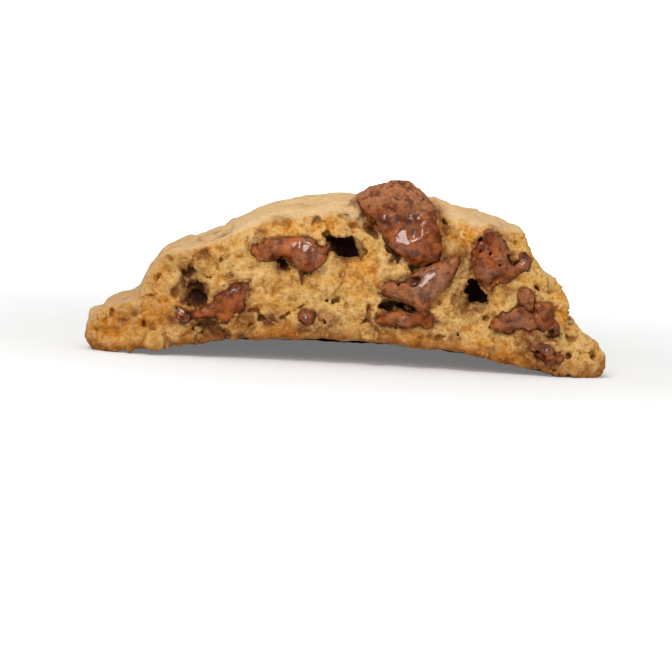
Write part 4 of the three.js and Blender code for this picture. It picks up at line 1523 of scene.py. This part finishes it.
def speckled_colour(nodes, colour):
    """Paler and darker grains, fewer of them on the skin."""
    grain_tone = use_group(nodes, fine_grain, DOUGH_GRAIN, "Tone")
    specks = nodes.remap(nodes.number("torn"), 0.0, 1.0, SPECKS["on the skin"], 1.0)
    for speck_tone, start, end in ((CRUMB_CREST_LIGHT_AND_PALE_SPECK, 0.5, 1.0), (CRUMB_CREASE_SHADE_AND_DARK_SPECK, 0.45, 0.0)):
        share = nodes.remap(grain_tone, start, end, 0.0, SPECKS["strength"])
        colour = nodes.mix(nodes.math("MULTIPLY", specks, share), colour, speck_tone)
    return colour


print("shares of the dough's numbers", DOUGH_SHARES)

# %% Dough finish
DOUGH_ROUGHNESS = {"skin": 0.7, "crumb": 0.9, "less where soaked": 0.25}
DOUGH_SHINE = 0.2
DOUGH_BUMP = {"Strength": 0.7, "Distance": 0.35 * MM}


def dough_finish():
    material, nodes, inputs = new_material("baked dough")
    torn = nodes.number("torn")
    colour = nodes.mix(torn, skin_colour(nodes), crumb_colour(nodes))
    colour = speckled_colour(nodes, colour)
    # painted shade in the cavities
    colour = nodes.mix(nodes.part_of("cavity", DOUGH_SHARES["cavity"]), colour, PAINTED_CAVITY_SHADE)
    colour = nodes.mix(nodes.mottled("browned", 2.5, (0.3, 0.6), (0.45, 0.95)), colour, TRAY_TONE)
    # soaked chocolate, with a painted shade in the rim beside each chunk
    soaked = nodes.mottled("soaked", 1.1, (0.32, 0.62), (0.3, 1.0))
    colour = nodes.mix(soaked, colour, SOAK_AND_RIM_SHADE_TONE)
    # painted shade round the hollows
    colour = nodes.mix(nodes.part_of("dark", DOUGH_SHARES["dark"]), colour, SHADE_ROUND_HOLLOWS_TONE)
    # painted shade deep in the hollows, over the walls' own dark brown
    nodes.put(inputs["Base Color"], nodes.mix(nodes.number("hollow"), colour, DEEP_HOLLOW_SHADE_TONE))
    rough = nodes.remap(torn, 0.0, 1.0, DOUGH_ROUGHNESS["skin"], DOUGH_ROUGHNESS["crumb"])
    smoother = nodes.math("MULTIPLY", soaked, DOUGH_ROUGHNESS["less where soaked"])
    nodes.put(inputs["Roughness"], nodes.math("SUBTRACT", rough, smoother))
    inputs["Specular IOR Level"].default_value = DOUGH_SHINE
    grain = use_group(nodes, fine_grain, DOUGH_GRAIN, "Height")
    fine = use_group(nodes, fine_grain, DOUGH_FINE_GRAIN, "Height")
    bump = {**DOUGH_BUMP, "Height": nodes.math("ADD", grain, fine)}
    nodes.put(inputs["Normal"], nodes.add("ShaderNodeBump", bump, "Normal"))
    return material


dough_material = dough_finish()
for piece in (cookie, crumbs):
    piece.data.materials.append(dough_material)
print(dough_material.name, "has", len(dough_material.node_tree.nodes), "nodes")

# %% [markdown]
# ## Chocolate finish
#
# Melted milk chocolate is a warm brown with a wet gloss, smeared darker here and there. Its dents and
# the edges where it meets the dough get a painted shade. Where it dried it has a pale, dull film. A
# coat over the base gives the wet gloss, and the film turns it off except on the flat wet faces.

# %% Chocolate tones
CHOCOLATE_TONE = tone(164, 87, 36)
CHOCOLATE_DEEP = tone(90, 36, 9)
FILM_TONE = tone(168, 114, 78)
CHOCOLATE_SMEAR = tone(70, 26, 8)
# painted shade for the chocolate's dents and where it meets the dough
CHOCOLATE_PAINTED_SHADE = tone(50, 18, 5)
print("the chocolate's main colour in linear light", [round(share, 3) for share in CHOCOLATE_TONE[:3]])

# %% Chocolate finish
CHOCOLATE_PATCHES = {
    "First": CHOCOLATE_TONE, "Second": CHOCOLATE_DEEP, "Patches per mm": 0.45, "Contrast": 3.2,
}
FILM_GRAIN = {"Grains per mm": 1.6, "Strength": 1.0}
CHOCOLATE_GRAIN = {"Grains per mm": 2.4, "Strength": 1.0}
CHOCOLATE_SHARES = {"cavity": 0.85, "contact": 0.8}
CHOCOLATE_SHINE = 0.1
COAT_ROUGHNESS = 0.1
CHOCOLATE_BUMP = {"Strength": 0.5, "Distance": 0.2 * MM}
FILM_BUMP = {"wet": 0.06, "more on film": 0.5}
FILM_ROUGHER = 0.2


def chocolate_colour(nodes):
    """Brown patches under film and smears, with a painted shade in dents and where the chocolate meets the
    dough.
    """
    colour = use_group(nodes, patches, CHOCOLATE_PATCHES)
    grain_tone = use_group(nodes, fine_grain, FILM_GRAIN, "Tone")
    film = nodes.math("MULTIPLY", nodes.number("film"), nodes.remap(grain_tone, 0.2, 0.8, 0.45, 0.95))
    colour = nodes.mix(film, colour, FILM_TONE)
    smeared = nodes.remap(nodes.noise(1.3, 4, 0.6), 0.5, 0.64, 0.0, 0.75)
    colour = nodes.mix(smeared, colour, CHOCOLATE_SMEAR)
    # painted shade in the dents and where the chocolate meets the dough
    for name, share in CHOCOLATE_SHARES.items():
        colour = nodes.mix(nodes.part_of(name, share), colour, CHOCOLATE_PAINTED_SHADE)
    return colour


def wet_coat(nodes):
    """How much gloss lies on the chocolate: all on wet faces, none on dry film."""
    coat = nodes.remap(nodes.noise(3.0, 2), 0.45, 0.65, 0.05, 0.5)
    coat = nodes.math("MAXIMUM", coat, nodes.number("wet"))
    not_wet = nodes.math("SUBTRACT", 1.0, nodes.number("wet"))
    dry = nodes.math("MULTIPLY", nodes.number("film"), not_wet)
    return nodes.math("MULTIPLY", coat, nodes.math("SUBTRACT", 1.0, dry))


def chocolate_finish():
    material, nodes, inputs = new_material("melted chocolate")
    nodes.put(inputs["Base Color"], chocolate_colour(nodes))
    smooth = nodes.remap(nodes.noise(2.2, 3), 0.35, 0.65, 0.24, 0.38)
    nodes.put(inputs["Roughness"], nodes.math("ADD", smooth, nodes.part_of("film", FILM_ROUGHER)))
    nodes.put(inputs["Coat Weight"], wet_coat(nodes))
    inputs["Coat Roughness"].default_value = COAT_ROUGHNESS
    inputs["Specular IOR Level"].default_value = CHOCOLATE_SHINE
    grain = use_group(nodes, fine_grain, CHOCOLATE_GRAIN, "Height")
    strength = nodes.math("ADD", nodes.part_of("film", FILM_BUMP["more on film"]), FILM_BUMP["wet"])
    bump = {**CHOCOLATE_BUMP, "Height": nodes.math("MULTIPLY", grain, strength)}
    nodes.put(inputs["Normal"], nodes.add("ShaderNodeBump", bump, "Normal"))
    return material


chocolate_material = chocolate_finish()
for piece in chunks:
    piece.data.materials.append(chocolate_material)
print(chocolate_material.name, "has", len(chocolate_material.node_tree.nodes), "nodes")

# %% [markdown]
# ## Stage and light
#
# The half stands on a pale floor that bends up into a wall all round, so that no horizon shows from
# any side. A large soft lamp, high in front and to the left, makes the shade in the hollows. A lower
# one beside it gives the gloss on the chocolate, a weak wide one on the right keeps that side light,
# and the sky is paler overhead than at the horizon.

# %% Floor finish
FLOOR_TONE = tone(222, 222, 221)
FLOOR_PALER = tone(227, 227, 226)
GLOW = {"near": 0.16, "far": 0.95, "from": 0.07, "to": 0.5}


def floor_finish():
    """Pale paper that looks lit from behind, without lighting the cookie from below."""
    material, nodes, inputs = new_material("pale floor")
    nodes.put(inputs["Base Color"], nodes.mix(nodes.noise(40.0, 2), FLOOR_TONE, FLOOR_PALER))
    inputs["Roughness"].default_value = 0.9
    away = nodes.add("ShaderNodeVectorMath", {0: nodes.place()}, "Value", operation="LENGTH")
    glow = nodes.remap(away, GLOW["from"], GLOW["to"], GLOW["near"], GLOW["far"])
    seen = nodes.add("ShaderNodeLightPath", {}, "Is Camera Ray")
    nodes.put(inputs["Emission Strength"], nodes.math("MULTIPLY", glow, seen))
    inputs["Emission Color"].default_value = (1, 1, 1, 1)
    return material


print("the floor glows from", GLOW["near"], "near the cookie to", GLOW["far"], "far away")

# %% Stage
STAGE_FLAT = 2.0  # metres of flat floor around the cookie
STAGE_CENTRE = 0.001  # metres from the middle to the first ring
STAGE_BEND = 1.2  # metres, the radius of the bend
STAGE_SIDES = 72
STAGE_STEPS = 12


def make_stage():
    rings = [(STAGE_CENTRE, 0.0), (STAGE_FLAT / 2, 0.0)]
    for step in range(STAGE_STEPS + 1):
        angle = math.pi / 2 * step / STAGE_STEPS
        rings.append((STAGE_FLAT + STAGE_BEND * math.sin(angle), STAGE_BEND * (1 - math.cos(angle))))
    stage = bmesh.new()
    rows = []
    for radius, height in rings:
        angles = [2 * math.pi * side / STAGE_SIDES for side in range(STAGE_SIDES)]
        rows.append([stage.verts.new((radius * math.cos(a), radius * math.sin(a), height)) for a in angles])
    stage.faces.new(rows[0])
    for inner, outer in zip(rows, rows[1:]):
        for side in range(STAGE_SIDES):
            after = (side + 1) % STAGE_SIDES
            stage.faces.new((inner[side], outer[side], outer[after], inner[after]))
    mesh = bpy.data.meshes.new("floor")
    stage.to_mesh(mesh)
    stage.free()
    mesh.shade_smooth()
    floor = bpy.data.objects.new("floor", mesh)
    bpy.context.scene.collection.objects.link(floor)
    mesh.materials.append(floor_finish())
    return floor


floor = make_stage()
print("floor", len(floor.data.polygons), "faces")

# %% Lamps
LAMPS = {
    "key": {"place": (-120, -470, 500), "size": 220, "watts": 2.0},
    "gloss": {"place": (-190, -560, 270), "size": 190, "watts": 0.8},
    "fill": {"place": (480, -420, 260), "size": 420, "watts": 0.32},
}
LAMP_TARGET = (0, -20, 15)
SKY_LOW = (0.2, 0.2, 0.2, 1.0)
SKY_HIGH = (0.85, 0.85, 0.85, 1.0)


def make_lamps():
    for name, lamp in LAMPS.items():
        light = bpy.data.objects.new(name, bpy.data.lights.new(name, "AREA"))
        light.data.shape = "DISK"
        light.data.size = lamp["size"] * MM
        light.data.energy = lamp["watts"]
        aim(light, lamp["place"], LAMP_TARGET)
        bpy.context.scene.collection.objects.link(light)
    world = bpy.data.worlds.new("sky")
    bpy.context.scene.world = world
    world.use_nodes = True
    nodes = Nodes(world.node_tree)
    way = nodes.add("ShaderNodeTexCoord", {}, "Generated")
    height = nodes.add("ShaderNodeSeparateXYZ", {0: way}, "Z")
    sky = nodes.mix(nodes.remap(height, 0.0, 1.0), SKY_LOW, SKY_HIGH)
    nodes.put(world.node_tree.nodes["Background"].inputs["Color"], sky)


make_lamps()
bpy.context.scene.view_settings.view_transform = "Standard"
print("lamps", list(LAMPS))

# %% [markdown]
